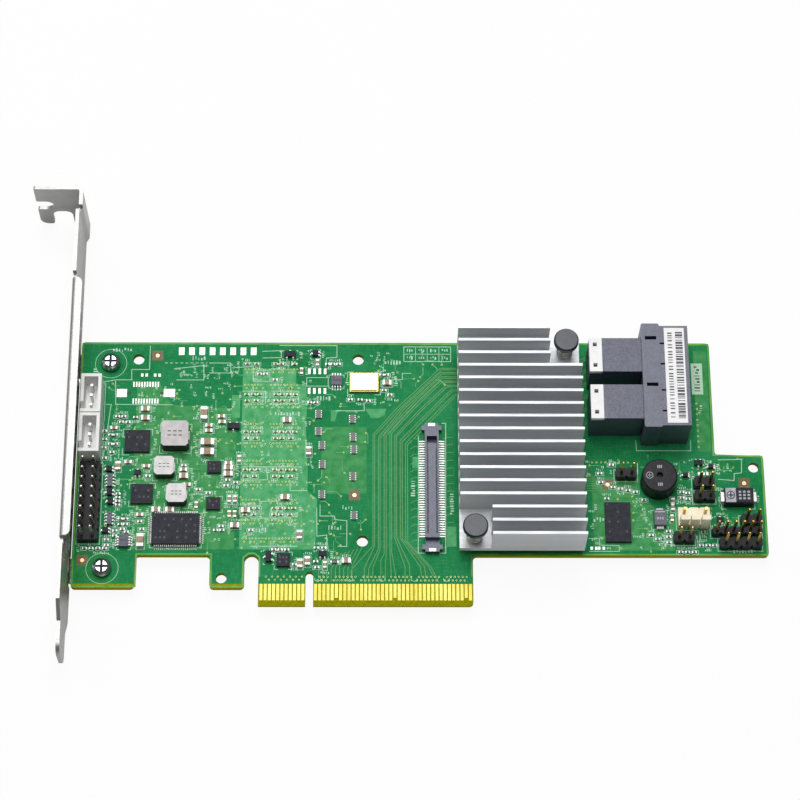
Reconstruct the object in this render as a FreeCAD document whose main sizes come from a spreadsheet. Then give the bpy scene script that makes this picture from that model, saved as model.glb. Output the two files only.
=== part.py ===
import FreeCAD
import Part
import Sketcher
import math
import os
from FreeCAD import Placement, Rotation, Vector

# A full-height RAID controller card, in millimetres.
# The origin is the middle of the key slot, on the mating edge and the component side.
# +X runs from the bracket to the far end, +Y from the edge contacts to the top edge,
# and +Z out of the component side, so the board lies between z = 0 and -board_thickness.

SIZES = [
    # Circuit board: reaches are measured from the key slot, heights from the mating edge.
    ("board_thickness", 1.57),
    ("board_height", 68.9),
    ("bracket_end_reach", 57.05),
    ("far_end_reach", 110.5),
    ("corner_radius", 1.0),
    ("lower_edge", 12.68),
    ("lobe_inner_reach", 41.97),
    ("lobe_edge", 4.42),
    ("hook_outer_reach", 23.9),
    ("hook_edge", 4.4),
    ("retention_slot_outer", 15.65),
    ("retention_slot_inner", 12.2),
    ("retention_slot_top", 12.8),
    ("tongue_reach", 39.2),
    ("key_slot_width", 1.9),
    ("key_slot_height", 8.5),
    ("shelf_edge", 38.82),
    ("shelf_start", 98.7),
    ("bevel_height", 1.3),
    ("bevel_depth", 0.4),
    ("hook_hole_diameter", 2.6),
    ("hook_hole_rise", 2.5),
    ("hook_hole_inset", 5.3),
    ("tooling_hole_diameter", 2.8),
    ("tooling_hole_drop", 4.6),
    ("left_tooling_hole", 42.85),
    ("middle_tooling_hole", 11.5),
    ("lower_tooling_hole", 12.65),
    ("lower_tooling_rise", 3.7),
    ("shelf_hole_inset", 2.5),
    ("shelf_hole_drop", 3.2),
    # Edge contacts.
    ("contact_pitch", 1.0),
    ("contact_width", 0.7),
    ("contact_thickness", 0.05),
    ("contact_bottom", 1.3),
    ("contact_top", 5.45),
    ("short_contact_cut", 0.65),
    ("key_to_contact", 1.5),
    # Bracket: folded steel plate across the end of the card.
    ("plate_thickness", 0.9),
    ("bracket_width", 18.42),
    ("bracket_length", 120.0),
    ("bracket_rise", 15.0),
    ("bracket_top", 104.7),
    ("bracket_gap", 0.55),
    ("tab_depth", 10.8),
    ("tab_bend_radius", 1.4),
    ("inner_bend_radius", 0.4),
    ("joggle_step", 0.7),
    ("joggle_drop", 5.1),
    ("joggle_run", 1.2),
    ("screw_slot_width", 4.1),
    ("screw_slot_depth", 4.25),
    ("screw_slot_drop", 8.65),
    ("tab_notch_width", 5.0),
    ("tab_notch_inset", 2.3),
    ("tab_notch_height", 6.7),
    ("tab_notch_radius", 2.0),
    ("tab_corner_radius", 2.2),
    ("tongue_taper", 4.1),
    ("tongue_start", 108.1),
    ("tongue_corner_radius", 2.5),
    ("flange_depth", 2.45),
    ("flange_start", 12.3),
    ("flange_end", 79.6),
    ("flange_corner_radius", 1.4),
    ("relief_width", 1.8),
    ("relief_depth", 1.6),
    ("foot_width", 6.2),
    ("foot_reach", 11.9),
    ("foot_relief_width", 0.8),
    ("foot_relief_depth", 1.3),
    ("foot_corner_radius", 2.0),
    ("upper_foot_drop", 5.8),
    ("lower_foot_rise", 4.9),
    ("foot_screw_inset", 7.4),
    ("vent_across_flats", 4.2),
    ("vent_pitch", 5.4),
    ("vent_start", 10.0),
    ("vent_columns", 13.0),
    ("vent_row_height", 6.4),
    # Bracket screws.
    ("screw_head_diameter", 4.75),
    ("screw_head_height", 1.8),
    ("screw_thread_diameter", 2.4),
    ("screw_tip_length", 0.7),
    ("screw_hole_clearance", 0.2),
    ("screw_thread_clearance", 0.05),
    ("recess_width", 0.62),
    ("recess_span", 2.9),
    ("recess_depth", 1.0),
    # Heat sink, the chip under it and the push pins.
    ("sink_width", 30.0),
    ("sink_left", 35.9),
    ("sink_front_inset", 0.3),
    ("sink_base_thickness", 1.7),
    ("fin_height", 9.7),
    ("fin_thickness", 0.7),
    ("fin_pitch", 3.34),
    ("fin_count", 17.0),
    ("milled_corner_width", 7.6),
    ("milled_corner_fins", 3.0),
    ("chip_width", 27.0),
    ("chip_substrate_height", 1.2),
    ("chip_lid_width", 21.0),
    ("chip_lid_height", 1.3),
    ("pad_thickness", 0.25),
    ("pin_inset_x", 3.6),
    ("pin_inset_y", 2.9),
    ("pin_hole_diameter", 3.2),
    ("pin_head_diameter", 6.05),
    ("pin_head_height", 1.8),
    ("pin_head_rise", 12.4),
    ("pin_shaft_diameter", 2.8),
    ("barb_diameter", 3.8),
    ("barb_length", 2.6),
    ("barb_slit", 0.7),
    ("spring_wire", 0.5),
    ("spring_diameter", 4.0),
    ("spring_turns", 5.0),
    # Dual cable port.
    ("port_right_edge", 92.0),
    ("port_length", 11.4),
    ("port_top_inset", 0.15),
    ("port_width", 27.4),
    ("port_height", 12.0),
    ("port_collar_length", 4.4),
    ("port_step", 0.5),
    ("port_roof_step", 0.3),
    ("port_pitch", 12.4),
    ("mouth_width", 10.9),
    ("mouth_height", 8.4),
    ("mouth_floor", 1.6),
    ("mouth_side_wall", 2.5),
    ("latch_slot_length", 2.8),
    ("latch_slot_width", 0.9),
    ("latch_slot_inset", 0.9),
    ("block_length", 9.6),
    ("block_width", 8.9),
    ("block_height", 11.0),
    ("nose_length", 6.6),
    ("nose_width", 7.8),
    ("nose_height", 6.4),
    ("nose_slot_height", 1.1),
    ("nose_slot_depth", 5.4),
    ("nose_slot_spacing", 3.2),
    ("blade_width", 0.35),
    ("blade_thickness", 0.15),
    ("blade_length", 4.8),
    ("blade_pitch", 0.75),
    ("blade_count", 9.0),
    ("comb_length", 3.1),
    ("comb_window", 1.0),
    ("comb_window_inset", 1.2),
    ("comb_thickness", 1.2),
    # Labels, bare of print.
    ("label_thickness", 0.1),
    ("port_label_length", 4.9),
    ("port_label_width", 25.2),
    ("port_label_inset", 0.9),
    ("board_label_length", 2.8),
    ("board_label_width", 8.4),
    ("board_label_gap", 1.9),
    ("board_label_drop", 5.5),
    # Buzzer.
    ("buzzer_diameter", 8.6),
    ("buzzer_height", 5.5),
    ("buzzer_port_diameter", 1.6),
    ("buzzer_port_depth", 1.2),
    ("buzzer_edge_radius", 0.4),
    ("buzzer_inset", 26.05),
    ("buzzer_rise", 18.7),
    # Pin headers.
    ("header_pitch", 2.54),
    ("fine_header_pitch", 2.0),
    ("header_body_height", 2.5),
    ("header_cell_chamfer", 0.45),
    ("pin_width", 0.64),
    ("pin_top", 8.5),
    ("pin_point", 0.2),
    ("tail_width", 0.9),
    ("tail_length", 1.2),
    ("big_header_inset", 3.7),
    ("big_header_rise", 13.3),
    ("big_header_rows", 8.0),
    ("shroud_width", 5.0),
    ("shroud_length", 10.1),
    ("shroud_height", 7.0),
    ("shroud_wall", 0.8),
    ("shroud_floor", 1.6),
    ("shroud_gap", 0.25),
    ("shroud_pin_top", 5.6),
    ("shroud_notch", 2.2),
    ("ivory_base_depth", 4.6),
    ("ivory_base_height", 2.6),
    ("ivory_groove", 0.3),
    ("ivory_prong_width", 2.1),
    ("ivory_prong_depth", 1.25),
    ("ivory_prong_height", 6.5),
    ("ivory_pin_setback", 2.9),
    # Mezzanine socket.
    ("socket_x", 29.5),
    ("socket_y", 29.9),
    ("socket_width", 3.4),
    ("socket_length", 33.4),
    ("socket_height", 3.0),
    ("socket_case_length", 27.2),
    ("socket_wall", 0.45),
    ("socket_end_wall", 0.9),
    ("socket_well_depth", 2.2),
    ("socket_rib_width", 1.8),
    ("socket_rib_end_gap", 1.9),
    ("socket_tab_width", 1.7),
    ("socket_tab_depth", 0.8),
    ("socket_ear_width", 4.9),
    ("socket_ear_length", 1.2),
    ("socket_ear_height", 1.4),
    ("lead_pitch", 0.635),
    ("lead_count", 40.0),
    ("lead_width", 0.3),
    ("lead_length", 1.35),
    ("lead_thickness", 0.2),
    # Chips: package bodies stand on the board, leads are flat strips folded down.
    ("thin_chip_height", 0.9),
    ("gull_body_lift", 0.15),
    ("gull_thickness", 0.18),
    ("flash_length", 10.2),
    ("flash_width", 6.2),
    ("flash_height", 1.0),
    ("quad_length", 11.4),
    ("quad_width", 7.8),
    ("quad_height", 1.4),
    ("quad_lead_pitch", 0.5),
    ("quad_lead_width", 0.24),
    ("quad_lead_reach", 0.9),
    ("memory_length", 13.3),
    ("memory_width", 9.0),
    ("memory_height", 1.1),
    ("memory_pitch", 10.0),
    ("memory_first_rise", 11.3),
    ("memory_count", 5.0),
    ("memory_reach", 9.8),
    ("oscillator_length", 7.0),
    ("oscillator_width", 5.0),
    ("oscillator_base_height", 0.8),
    ("oscillator_lid_height", 0.45),
    ("oscillator_lid_margin", 0.3),
    ("big_inductor_width", 6.6),
    ("big_inductor_height", 3.7),
    ("small_inductor_width", 4.8),
    ("small_inductor_height", 3.0),
    ("inductor_chamfer", 0.6),
    ("inductor_clip_width", 2.2),
    ("inductor_clip_thickness", 0.15),
    ("tantalum_length", 7.0),
    ("tantalum_width", 4.1),
    ("tantalum_height", 2.8),
    ("tantalum_chamfer", 0.35),
    ("tantalum_clip_width", 2.4),
    ("tantalum_clip_height", 1.6),
    ("tantalum_clip_length", 0.8),
    ("diode_length", 3.9),
    ("diode_width", 2.9),
    ("diode_height", 2.1),
    ("transistor_height", 1.0),
    ("array_width", 1.2),
    ("array_length", 2.2),
    ("array_height", 0.45),
    ("terminal_share", 0.24),
]


class Term:
    """A number that also knows the spreadsheet expression it comes from."""

    def __init__(self, value, text):
        self.value = value
        self.text = text

    def combine(self, other, sign, value):
        return Term(value, "(" + self.text + sign + as_term(other).text + ")")

    def __add__(self, other):
        return self.combine(other, " + ", self.value + as_term(other).value)

    def __sub__(self, other):
        return self.combine(other, " - ", self.value - as_term(other).value)

    def __mul__(self, other):
        return self.combine(other, " * ", self.value * as_term(other).value)

    def __truediv__(self, other):
        return self.combine(other, " / ", self.value / as_term(other).value)

    def __radd__(self, other):
        return as_term(other) + self

    def __rsub__(self, other):
        return as_term(other) - self

    def __rmul__(self, other):
        return as_term(other) * self

    def __neg__(self):
        return Term(-self.value, "(0 - " + self.text + ")")


def as_term(number):
    """Wraps a plain number, so that terms and numbers mix freely."""
    return number if isinstance(number, Term) else Term(float(number), str(number))


class Sheet:
    """The document's spreadsheet, read as attributes such as size.board_height."""

    def __init__(self, document, rows):
        self.cells = document.addObject("Spreadsheet::Sheet", "Sizes")
        for row, (name, number) in enumerate(rows, start=1):
            self.cells.set("A%d" % row, name)
            self.cells.set("B%d" % row, str(number))
            self.cells.setAlias("B%d" % row, name)
        document.recompute()
        for name, number in rows:
            setattr(self, name, Term(float(self.cells.get(name)), "Sizes." + name))


doc = FreeCAD.newDocument("raid_controller_card")
size = Sheet(doc, SIZES)
nodes = []


# ---------------------------------------------------------------- construction helpers

def node(item, label):
    """Registers an object as one sub-part of the card."""
    item.Label = label
    nodes.append(item)
    return item


def new_body(label):
    """An empty body; its label is a form until node() makes it a sub-part."""
    body = doc.addObject("PartDesign::Body", label)
    body.Label = label
    return body


def datum(body, role):
    """One of a body's own origin planes or axes."""
    for feature in body.Origin.OriginFeatures:
        if feature.Role == role:
            return feature
    raise ValueError("no datum called " + role)


def new_sketch(body, name, plane, offset=0):
    """A sketch on one of the body's origin planes, moved along the plane's normal."""
    sketch = body.newObject("Sketcher::SketchObject", name)
    sketch.AttachmentSupport = [(datum(body, plane), "")]
    sketch.MapMode = "FlatFace"
    sketch.setExpression("AttachmentOffset.Base.z", as_term(offset).text)
    return sketch


def tie_point(sketch, edge, end, point):
    """Holds one point of a sketch at its place, measured from the sketch's origin."""
    for axis, place in zip(("X", "Y"), point):
        place = as_term(place)
        index = sketch.addConstraint(
            Sketcher.Constraint("Distance" + axis, -1, 1, edge, end, place.value))
        name = "%s_of_%d" % (axis.lower(), index)
        sketch.renameConstraint(index, name)
        sketch.setExpression("Constraints." + name, place.text)


def vector_of(point):
    return Vector(as_term(point[0]).value, as_term(point[1]).value, 0)


def draw_outline(sketch, corners):
    """A closed loop of straight edges with every corner tied to the sheet."""
    first = sketch.GeometryCount
    count = len(corners)
    for index in range(count):
        start = vector_of(corners[index])
        end = vector_of(corners[(index + 1) % count])
        sketch.addGeometry(Part.LineSegment(start, end), False)
    for index in range(count):
        following = first + (index + 1) % count
        sketch.addConstraint(Sketcher.Constraint("Coincident", first + index, 2, following, 1))
    for index, corner in enumerate(corners):
        tie_point(sketch, first + index, 1, corner)


def draw_box(sketch, low, high):
    """A rectangle between two opposite corners."""
    draw_outline(sketch, [low, (high[0], low[1]), high, (low[0], high[1])])


def draw_circle(sketch, centre, diameter):
    diameter = as_term(diameter)
    circle = Part.Circle(vector_of(centre), Vector(0, 0, 1), diameter.value / 2)
    edge = sketch.addGeometry(circle, False)
    tie_point(sketch, edge, 3, centre)
    index = sketch.addConstraint(Sketcher.Constraint("Diameter", edge, diameter.value))
    name = "diameter_of_%d" % index
    sketch.renameConstraint(index, name)
    sketch.setExpression("Constraints." + name, diameter.text)


def add_pad(body, sketch, length, reverse=False, symmetric=False):
    """Adds material along the sketch's normal and checks that the body grew."""
    before = body.Shape.Volume if not body.Shape.isNull() else 0
    feature = body.newObject("PartDesign::Pad", sketch.Name + "_pad")
    feature.Profile = sketch
    feature.setExpression("Length", as_term(length).text)
    feature.Reversed = reverse
    if symmetric:
        feature.SideType = "Symmetric"
    sketch.Visibility = False
    doc.recompute()
    if body.Shape.Volume <= before:
        raise ValueError(feature.Name + " adds nothing")
    return feature


def cut_pocket(body, sketch, depth=None, reverse=False, symmetric=False):
    """Cuts against the sketch's normal, through everything when no depth is given."""
    before = body.Shape.Volume
    feature = body.newObject("PartDesign::Pocket", sketch.Name + "_pocket")
    feature.Profile = sketch
    feature.Reversed = reverse
    if symmetric:
        feature.SideType = "Symmetric"
    if depth is None:
        feature.Type = "ThroughAll"
    else:
        feature.setExpression("Length", as_term(depth).text)
    sketch.Visibility = False
    doc.recompute()
    if body.Shape.Volume >= before:
        raise ValueError(feature.Name + " cuts nothing")
    return feature


def repeat(body, feature, axis, spacing, count):
    """Repeats a feature in a straight row along one of the body's axes."""
    pattern = body.newObject("PartDesign::LinearPattern", feature.Name + "_row")
    pattern.Originals = [feature]
    pattern.Direction = (datum(body, axis), [""])
    pattern.Mode = "Spacing"
    pattern.setExpression("Offset", as_term(spacing).text)
    pattern.setExpression("Occurrences", as_term(count).text)
    body.Tip = pattern
    doc.recompute()
    return pattern


def edges_through(shape, lines):
    """Names of the edges that lie on the given lines, each an axis and a point."""
    names = []
    for index, edge in enumerate(shape.Edges, start=1):
        if len(edge.Vertexes) != 2:
            continue
        ends = [vertex.Point for vertex in edge.Vertexes]
        for axis, first, second in lines:
            others = [i for i in range(3) if i != "XYZ".index(axis)]
            wanted = (as_term(first).value, as_term(second).value)
            if all(abs(end[i] - place) < 0.001 for end in ends for i, place in zip(others, wanted)):
                names.append("Edge%d" % index)
    return names


def round_edges(body, name, lines, radius):
    """Rounds the edges on the given lines."""
    base = body.Tip
    names = edges_through(base.Shape, lines)
    if not names:
        raise ValueError(name + " finds no edge")
    feature = body.newObject("PartDesign::Fillet", name)
    feature.Base = (base, names)
    feature.setExpression("Radius", as_term(radius).text)
    doc.recompute()
    return feature


def bevel_edges(body, name, lines, width):
    """Chamfers the edges on the given lines."""
    base = body.Tip
    names = edges_through(base.Shape, lines)
    if not names:
        raise ValueError(name + " finds no edge")
    feature = body.newObject("PartDesign::Chamfer", name)
    feature.Base = (base, names)
    feature.setExpression("Size", as_term(width).text)
    doc.recompute()
    return feature


def block(name, low, lengths):
    """A box from its lowest corner and its three lengths, all tied to the sheet."""
    item = doc.addObject("Part::Box", name)
    for axis, place in zip("xyz", low):
        item.setExpression("Placement.Base." + axis, as_term(place).text)
    for side, length in zip(("Length", "Width", "Height"), lengths):
        item.setExpression(side, as_term(length).text)
    return item


def copies(label, form, places, turn=0):
    """One sub-part made of separate copies of a form, such as a set of like pins."""
    doc.recompute()
    item = doc.addObject("Part::Feature", label)
    solids = []
    for place in places:
        spot = Vector(*[as_term(value).value for value in place])
        solid = form.Shape.copy()
        solid.Placement = Placement(spot, Rotation(Vector(0, 0, 1), turn)) * solid.Placement
        solids.append(solid)
    item.Shape = Part.makeCompound(solids)
    return node(item, label)


def solid_box(centre_x, centre_y, bottom, length, width, height):
    """A plain box solid, for small parts that stand at many places."""
    corner = Vector(centre_x - length / 2, centre_y - width / 2, bottom)
    return Part.makeBox(length, width, height, corner)


def solids_node(label, solids):
    """One sub-part made of many small separate solids."""
    item = doc.addObject("Part::Feature", label)
    item.Shape = Part.makeCompound(solids)
    return node(item, label)


# ---------------------------------------------------------------- places shared by pieces

left_edge = -size.bracket_end_reach
right_edge = size.far_end_reach
top_edge = size.board_height
under_side = -size.board_thickness
plate_inner = left_edge - size.bracket_gap
plate_outer = plate_inner - size.plate_thickness
bracket_low = size.bracket_rise - size.bracket_width
foot_centres = [top_edge - size.upper_foot_drop, size.lobe_edge + size.lower_foot_rise]
screw_x = left_edge + size.foot_screw_inset
sink_front = size.lower_edge + size.sink_front_inset
sink_length = size.fin_pitch * (size.fin_count - 1) + size.fin_thickness
sink_right = size.sink_left + size.sink_width
sink_low = size.chip_substrate_height + size.chip_lid_height + size.pad_thickness
sink_floor = sink_low + size.sink_base_thickness
sink_top = sink_floor + size.fin_height
sink_centre = (size.sink_left + size.sink_width / 2, sink_front + sink_length / 2)
push_pin_places = [
    (size.sink_left + size.pin_inset_x, sink_front + size.pin_inset_y),
    (sink_right - size.pin_inset_x, sink_front + sink_length - size.pin_inset_y),
]
port_back = size.port_right_edge - size.port_length
port_top = top_edge - size.port_top_inset
port_low = port_top - size.port_width
upper_mouth_high = port_top - size.mouth_side_wall
port_axes = [
    upper_mouth_high - size.mouth_width / 2,
    upper_mouth_high - size.mouth_width / 2 - size.port_pitch,
]


# ---------------------------------------------------------------- circuit board

def make_circuit_board():
    """The laminate, cut to the card's outline and bevelled at the mating edge."""
    body = new_body("circuit_board")
    slot_width = size.retention_slot_outer - size.retention_slot_inner
    slot_arc = size.retention_slot_top - slot_width / 2
    outline = new_sketch(body, "board_outline", "XY_Plane")
    draw_outline(outline, [
        (left_edge, size.lobe_edge),
        (-size.lobe_inner_reach, size.lobe_edge),
        (-size.lobe_inner_reach, size.lower_edge),
        (-size.hook_outer_reach, size.lower_edge),
        (-size.hook_outer_reach, size.hook_edge),
        (-size.retention_slot_outer, size.hook_edge),
        (-size.retention_slot_outer, slot_arc),
        (-size.retention_slot_inner, slot_arc),
        (-size.retention_slot_inner, 0),
        (size.tongue_reach, 0),
        (size.tongue_reach, size.lower_edge),
        (right_edge, size.lower_edge),
        (right_edge, size.shelf_edge),
        (size.shelf_start, size.shelf_edge),
        (size.shelf_start, top_edge),
        (left_edge, top_edge),
    ])
    add_pad(body, outline, size.board_thickness, reverse=True)
    round_edges(body, "board_corners", [
        ("Z", left_edge, size.lobe_edge),
        ("Z", -size.lobe_inner_reach, size.lobe_edge),
        ("Z", -size.lobe_inner_reach, size.lower_edge),
        ("Z", -size.hook_outer_reach, size.lower_edge),
        ("Z", -size.hook_outer_reach, size.hook_edge),
        ("Z", -size.retention_slot_outer, size.hook_edge),
        ("Z", size.tongue_reach, 0),
        ("Z", size.tongue_reach, size.lower_edge),
        ("Z", right_edge, size.lower_edge),
        ("Z", right_edge, size.shelf_edge),
        ("Z", size.shelf_start, size.shelf_edge),
        ("Z", size.shelf_start, top_edge),
        ("Z", left_edge, top_edge),
    ], size.corner_radius)

    key = new_sketch(body, "key_slot", "XY_Plane")
    half_key = size.key_slot_width / 2
    key_arc = size.key_slot_height - half_key
    draw_box(key, (-half_key, -size.corner_radius), (half_key, key_arc))
    cut_pocket(body, key)
    holes = new_sketch(body, "board_holes", "XY_Plane")
    slot_middle = -(size.retention_slot_outer + size.retention_slot_inner) / 2
    draw_circle(holes, (slot_middle, slot_arc), slot_width)
    draw_circle(holes, (0, key_arc), size.key_slot_width)
    draw_circle(holes, (-size.hook_outer_reach + size.hook_hole_inset - size.hook_hole_rise,
                        size.hook_edge + size.hook_hole_rise), size.hook_hole_diameter)
    tooling_row = top_edge - size.tooling_hole_drop
    draw_circle(holes, (-size.left_tooling_hole, tooling_row), size.tooling_hole_diameter)
    draw_circle(holes, (size.middle_tooling_hole, tooling_row), size.tooling_hole_diameter)
    draw_circle(holes, (size.lower_tooling_hole, size.lower_edge + size.lower_tooling_rise),
                size.tooling_hole_diameter)
    draw_circle(holes, (right_edge - size.shelf_hole_inset, size.shelf_edge - size.shelf_hole_drop),
                size.hook_hole_diameter)
    for place in push_pin_places:
        draw_circle(holes, place, size.pin_hole_diameter)
    for centre in foot_centres:
        draw_circle(holes, (screw_x, centre), size.screw_thread_diameter + 2 * size.screw_hole_clearance)
    cut_pocket(body, holes)

    bevel = new_sketch(body, "mating_bevel", "YZ_Plane")
    beyond = size.bevel_depth
    draw_outline(bevel, [(size.bevel_height, 0), (-beyond, beyond), (-beyond, -size.bevel_depth),
                         (0, -size.bevel_depth)])
    draw_outline(bevel, [(size.bevel_height, under_side), (-beyond, under_side - beyond),
                         (-beyond, under_side + size.bevel_depth),
                         (0, under_side + size.bevel_depth)])
    cut_pocket(body, bevel, symmetric=True)
    node(body, "circuit_board")


def make_edge_contacts():
    """Gold fingers on both faces of the tongue; the detect contacts are cut short."""
    left_group = [-size.key_to_contact.value - size.contact_pitch.value * i for i in range(11)]
    right_group = [size.key_to_contact.value + size.contact_pitch.value * i for i in range(38)]
    short_on_top = [right_group[5], right_group[19], right_group[36]]
    short_below = [left_group[-1]]
    thickness = size.contact_thickness.value
    top = size.contact_top.value
    fingers = []
    for bottom, shorts in ((0.0, short_on_top), (under_side.value - thickness, short_below)):
        for place in left_group + right_group:
            low = size.contact_bottom.value
            if place in shorts:
                low += size.short_contact_cut.value
            fingers.append(solid_box(place, (low + top) / 2, bottom,
                                     size.contact_width.value, top - low, thickness))
    solids_node("edge_contacts", fingers)


# ---------------------------------------------------------------- bracket and its screws

def make_bracket():
    """One folded sheet: screw tab, joggle, vented plate, flange, two feet and tongue."""
    body = new_body("bracket")
    plate = size.plate_thickness
    top = size.bracket_top
    tip = top - size.bracket_length
    tab_end = plate_outer - size.tab_depth
    joggle_top = top - size.joggle_drop
    joggle_bottom = joggle_top - size.joggle_run
    profile = new_sketch(body, "bracket_profile", "XY_Plane", bracket_low)
    draw_outline(profile, [
        (tab_end, top),
        (plate_inner + size.joggle_step, top),
        (plate_inner + size.joggle_step, joggle_top),
        (plate_inner, joggle_bottom),
        (plate_inner, tip),
        (plate_outer, tip),
        (plate_outer, joggle_bottom),
        (plate_outer + size.joggle_step, joggle_top),
        (plate_outer + size.joggle_step, top - plate),
        (tab_end, top - plate),
    ])
    add_pad(body, profile, size.bracket_width)
    round_edges(body, "tab_outer_bend", [("Z", plate_inner + size.joggle_step, top)],
                size.tab_bend_radius)
    round_edges(body, "tab_inner_bend", [("Z", plate_outer + size.joggle_step, top - plate)],
                size.inner_bend_radius)
    shape_tab(body, tab_end, top)
    shape_tongue(body, tip, top)
    cut_vents(body)
    cut_reliefs(body, joggle_bottom)
    add_flange(body)
    add_feet(body)
    node(body, "bracket")


def shape_tab(body, tab_end, top):
    """Screw slot, clearance notch and rounded hook of the top tab."""
    cut_depth = size.plate_thickness * 2
    slot_centre = size.bracket_rise - size.screw_slot_drop
    slot_end = tab_end + size.screw_slot_depth
    half_slot = size.screw_slot_width / 2
    slot = new_sketch(body, "screw_slot", "XZ_Plane", -top)
    draw_box(slot, (tab_end - 1, slot_centre - half_slot), (slot_end - half_slot, slot_centre + half_slot))
    cut_pocket(body, slot, cut_depth, reverse=True)
    slot_round = new_sketch(body, "screw_slot_end", "XZ_Plane", -top)
    draw_circle(slot_round, (slot_end - half_slot, slot_centre), size.screw_slot_width)
    cut_pocket(body, slot_round, cut_depth, reverse=True)
    notch_right = plate_outer - size.tab_notch_inset
    notch_left = notch_right - size.tab_notch_width
    notch_top = bracket_low + size.tab_notch_height
    notch = new_sketch(body, "tab_notch", "XZ_Plane", -top)
    draw_box(notch, (notch_left, bracket_low - 1), (notch_right, notch_top))
    cut_pocket(body, notch, cut_depth, reverse=True)
    round_edges(body, "tab_notch_corners", [("Y", notch_left, notch_top), ("Y", notch_right, notch_top)],
                size.tab_notch_radius)
    round_edges(body, "hook_corner", [("Y", tab_end, bracket_low)], size.tab_corner_radius)
    round_edges(body, "hook_inner_corner", [("Y", notch_left, bracket_low)], size.inner_bend_radius * 2)
    round_edges(body, "tab_corners", [
        ("Y", tab_end, size.bracket_rise),
        ("Y", tab_end, slot_centre + half_slot),
        ("Y", tab_end, slot_centre - half_slot),
    ], size.inner_bend_radius)


def shape_tongue(body, tip, top):
    """Tapers the plate on both sides to the narrow tongue and rounds its tip."""
    start = top - size.tongue_start
    taper = size.tongue_taper
    for name, side, outward in (("upper_taper", size.bracket_rise, 1), ("lower_taper", bracket_low, -1)):
        sketch = new_sketch(body, name, "YZ_Plane")
        inner = side - taper * outward
        outer = side + outward
        draw_outline(sketch, [(start, side), (start - taper, inner), (tip - 1, inner),
                              (tip - 1, outer), (start, outer)])
        cut_pocket(body, sketch, symmetric=True)
    round_edges(body, "tip_corners", [
        ("X", tip, size.bracket_rise - taper),
        ("X", tip, bracket_low + taper),
    ], size.tongue_corner_radius)


def cut_vents(body):
    """Three staggered rows of hexagonal vents through the plate."""
    radius = size.vent_across_flats / math.sqrt(3)
    row_spacing = size.vent_pitch * (math.sqrt(3) / 2)
    for row in (-1, 0, 1):
        stagger = size.vent_pitch / 2 if row == 0 else 0
        fewer = 1 if row == 0 else 0
        centre_y = size.vent_start + stagger
        centre_z = size.vent_row_height + row_spacing * row
        sketch = new_sketch(body, "vent_row_%d" % (row + 2), "YZ_Plane", plate_inner)
        corners = []
        for step in range(6):
            angle = math.radians(90 + 60 * step)
            corners.append((centre_y + radius * math.cos(angle), centre_z + radius * math.sin(angle)))
        draw_outline(sketch, corners)
        cut = cut_pocket(body, sketch, size.plate_thickness * 1.5)
        repeat(body, cut, "Y_Axis", size.vent_pitch, size.vent_columns - fewer)


def cut_reliefs(body, joggle_bottom):
    """Bend reliefs at the ends of the flange, at the joggle and beside the feet."""
    depth = size.relief_depth
    lip = size.bracket_rise
    flange_reliefs = new_sketch(body, "flange_reliefs", "YZ_Plane", plate_inner + size.joggle_step)
    for low, high in (
        (size.flange_start - size.relief_width, size.flange_start),
        (size.flange_end, size.flange_end + size.relief_width),
        (joggle_bottom, joggle_bottom + size.joggle_run),
    ):
        draw_box(flange_reliefs, (low, lip - depth), (high, lip + 1))
    cut_pocket(body, flange_reliefs, size.plate_thickness * 3)
    foot_low = under_side - size.plate_thickness
    relief_top = under_side + size.foot_relief_depth - size.plate_thickness
    foot_reliefs = new_sketch(body, "foot_reliefs", "YZ_Plane", plate_inner)
    for centre in foot_centres:
        low = centre - size.foot_width / 2
        high = centre + size.foot_width / 2
        draw_outline(foot_reliefs, [
            (low - size.foot_relief_width, bracket_low - 1),
            (high + size.foot_relief_width, bracket_low - 1),
            (high + size.foot_relief_width, relief_top),
            (high, relief_top),
            (high, foot_low),
            (low, foot_low),
            (low, relief_top),
            (low - size.foot_relief_width, relief_top),
        ])
    cut_pocket(body, foot_reliefs, size.plate_thickness * 1.5)


def add_flange(body):
    """The stiffening flange along the plate's upper edge, folded over the board."""
    plate = size.plate_thickness
    edge = plate_outer + size.flange_depth
    sketch = new_sketch(body, "flange", "XY_Plane", size.bracket_rise - plate)
    draw_box(sketch, (plate_outer, size.flange_start), (edge, size.flange_end))
    add_pad(body, sketch, plate)
    round_edges(body, "flange_corners", [
        ("Z", edge, size.flange_start),
        ("Z", edge, size.flange_end),
    ], size.flange_corner_radius)
    lip = edges_through(body.Tip.Shape, [("Y", plate_outer, size.bracket_rise)])
    base = body.Tip
    chosen = [name for name in lip if flange_edge(base.Shape.getElement(name))]
    feature = body.newObject("PartDesign::Fillet", "flange_bend")
    feature.Base = (base, chosen)
    feature.setExpression("Radius", plate.text)
    doc.recompute()


def flange_edge(edge):
    """True for an edge that lies between the flange's two ends."""
    middle = (edge.Vertexes[0].Point.y + edge.Vertexes[1].Point.y) / 2
    return size.flange_start.value < middle < size.flange_end.value


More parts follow.
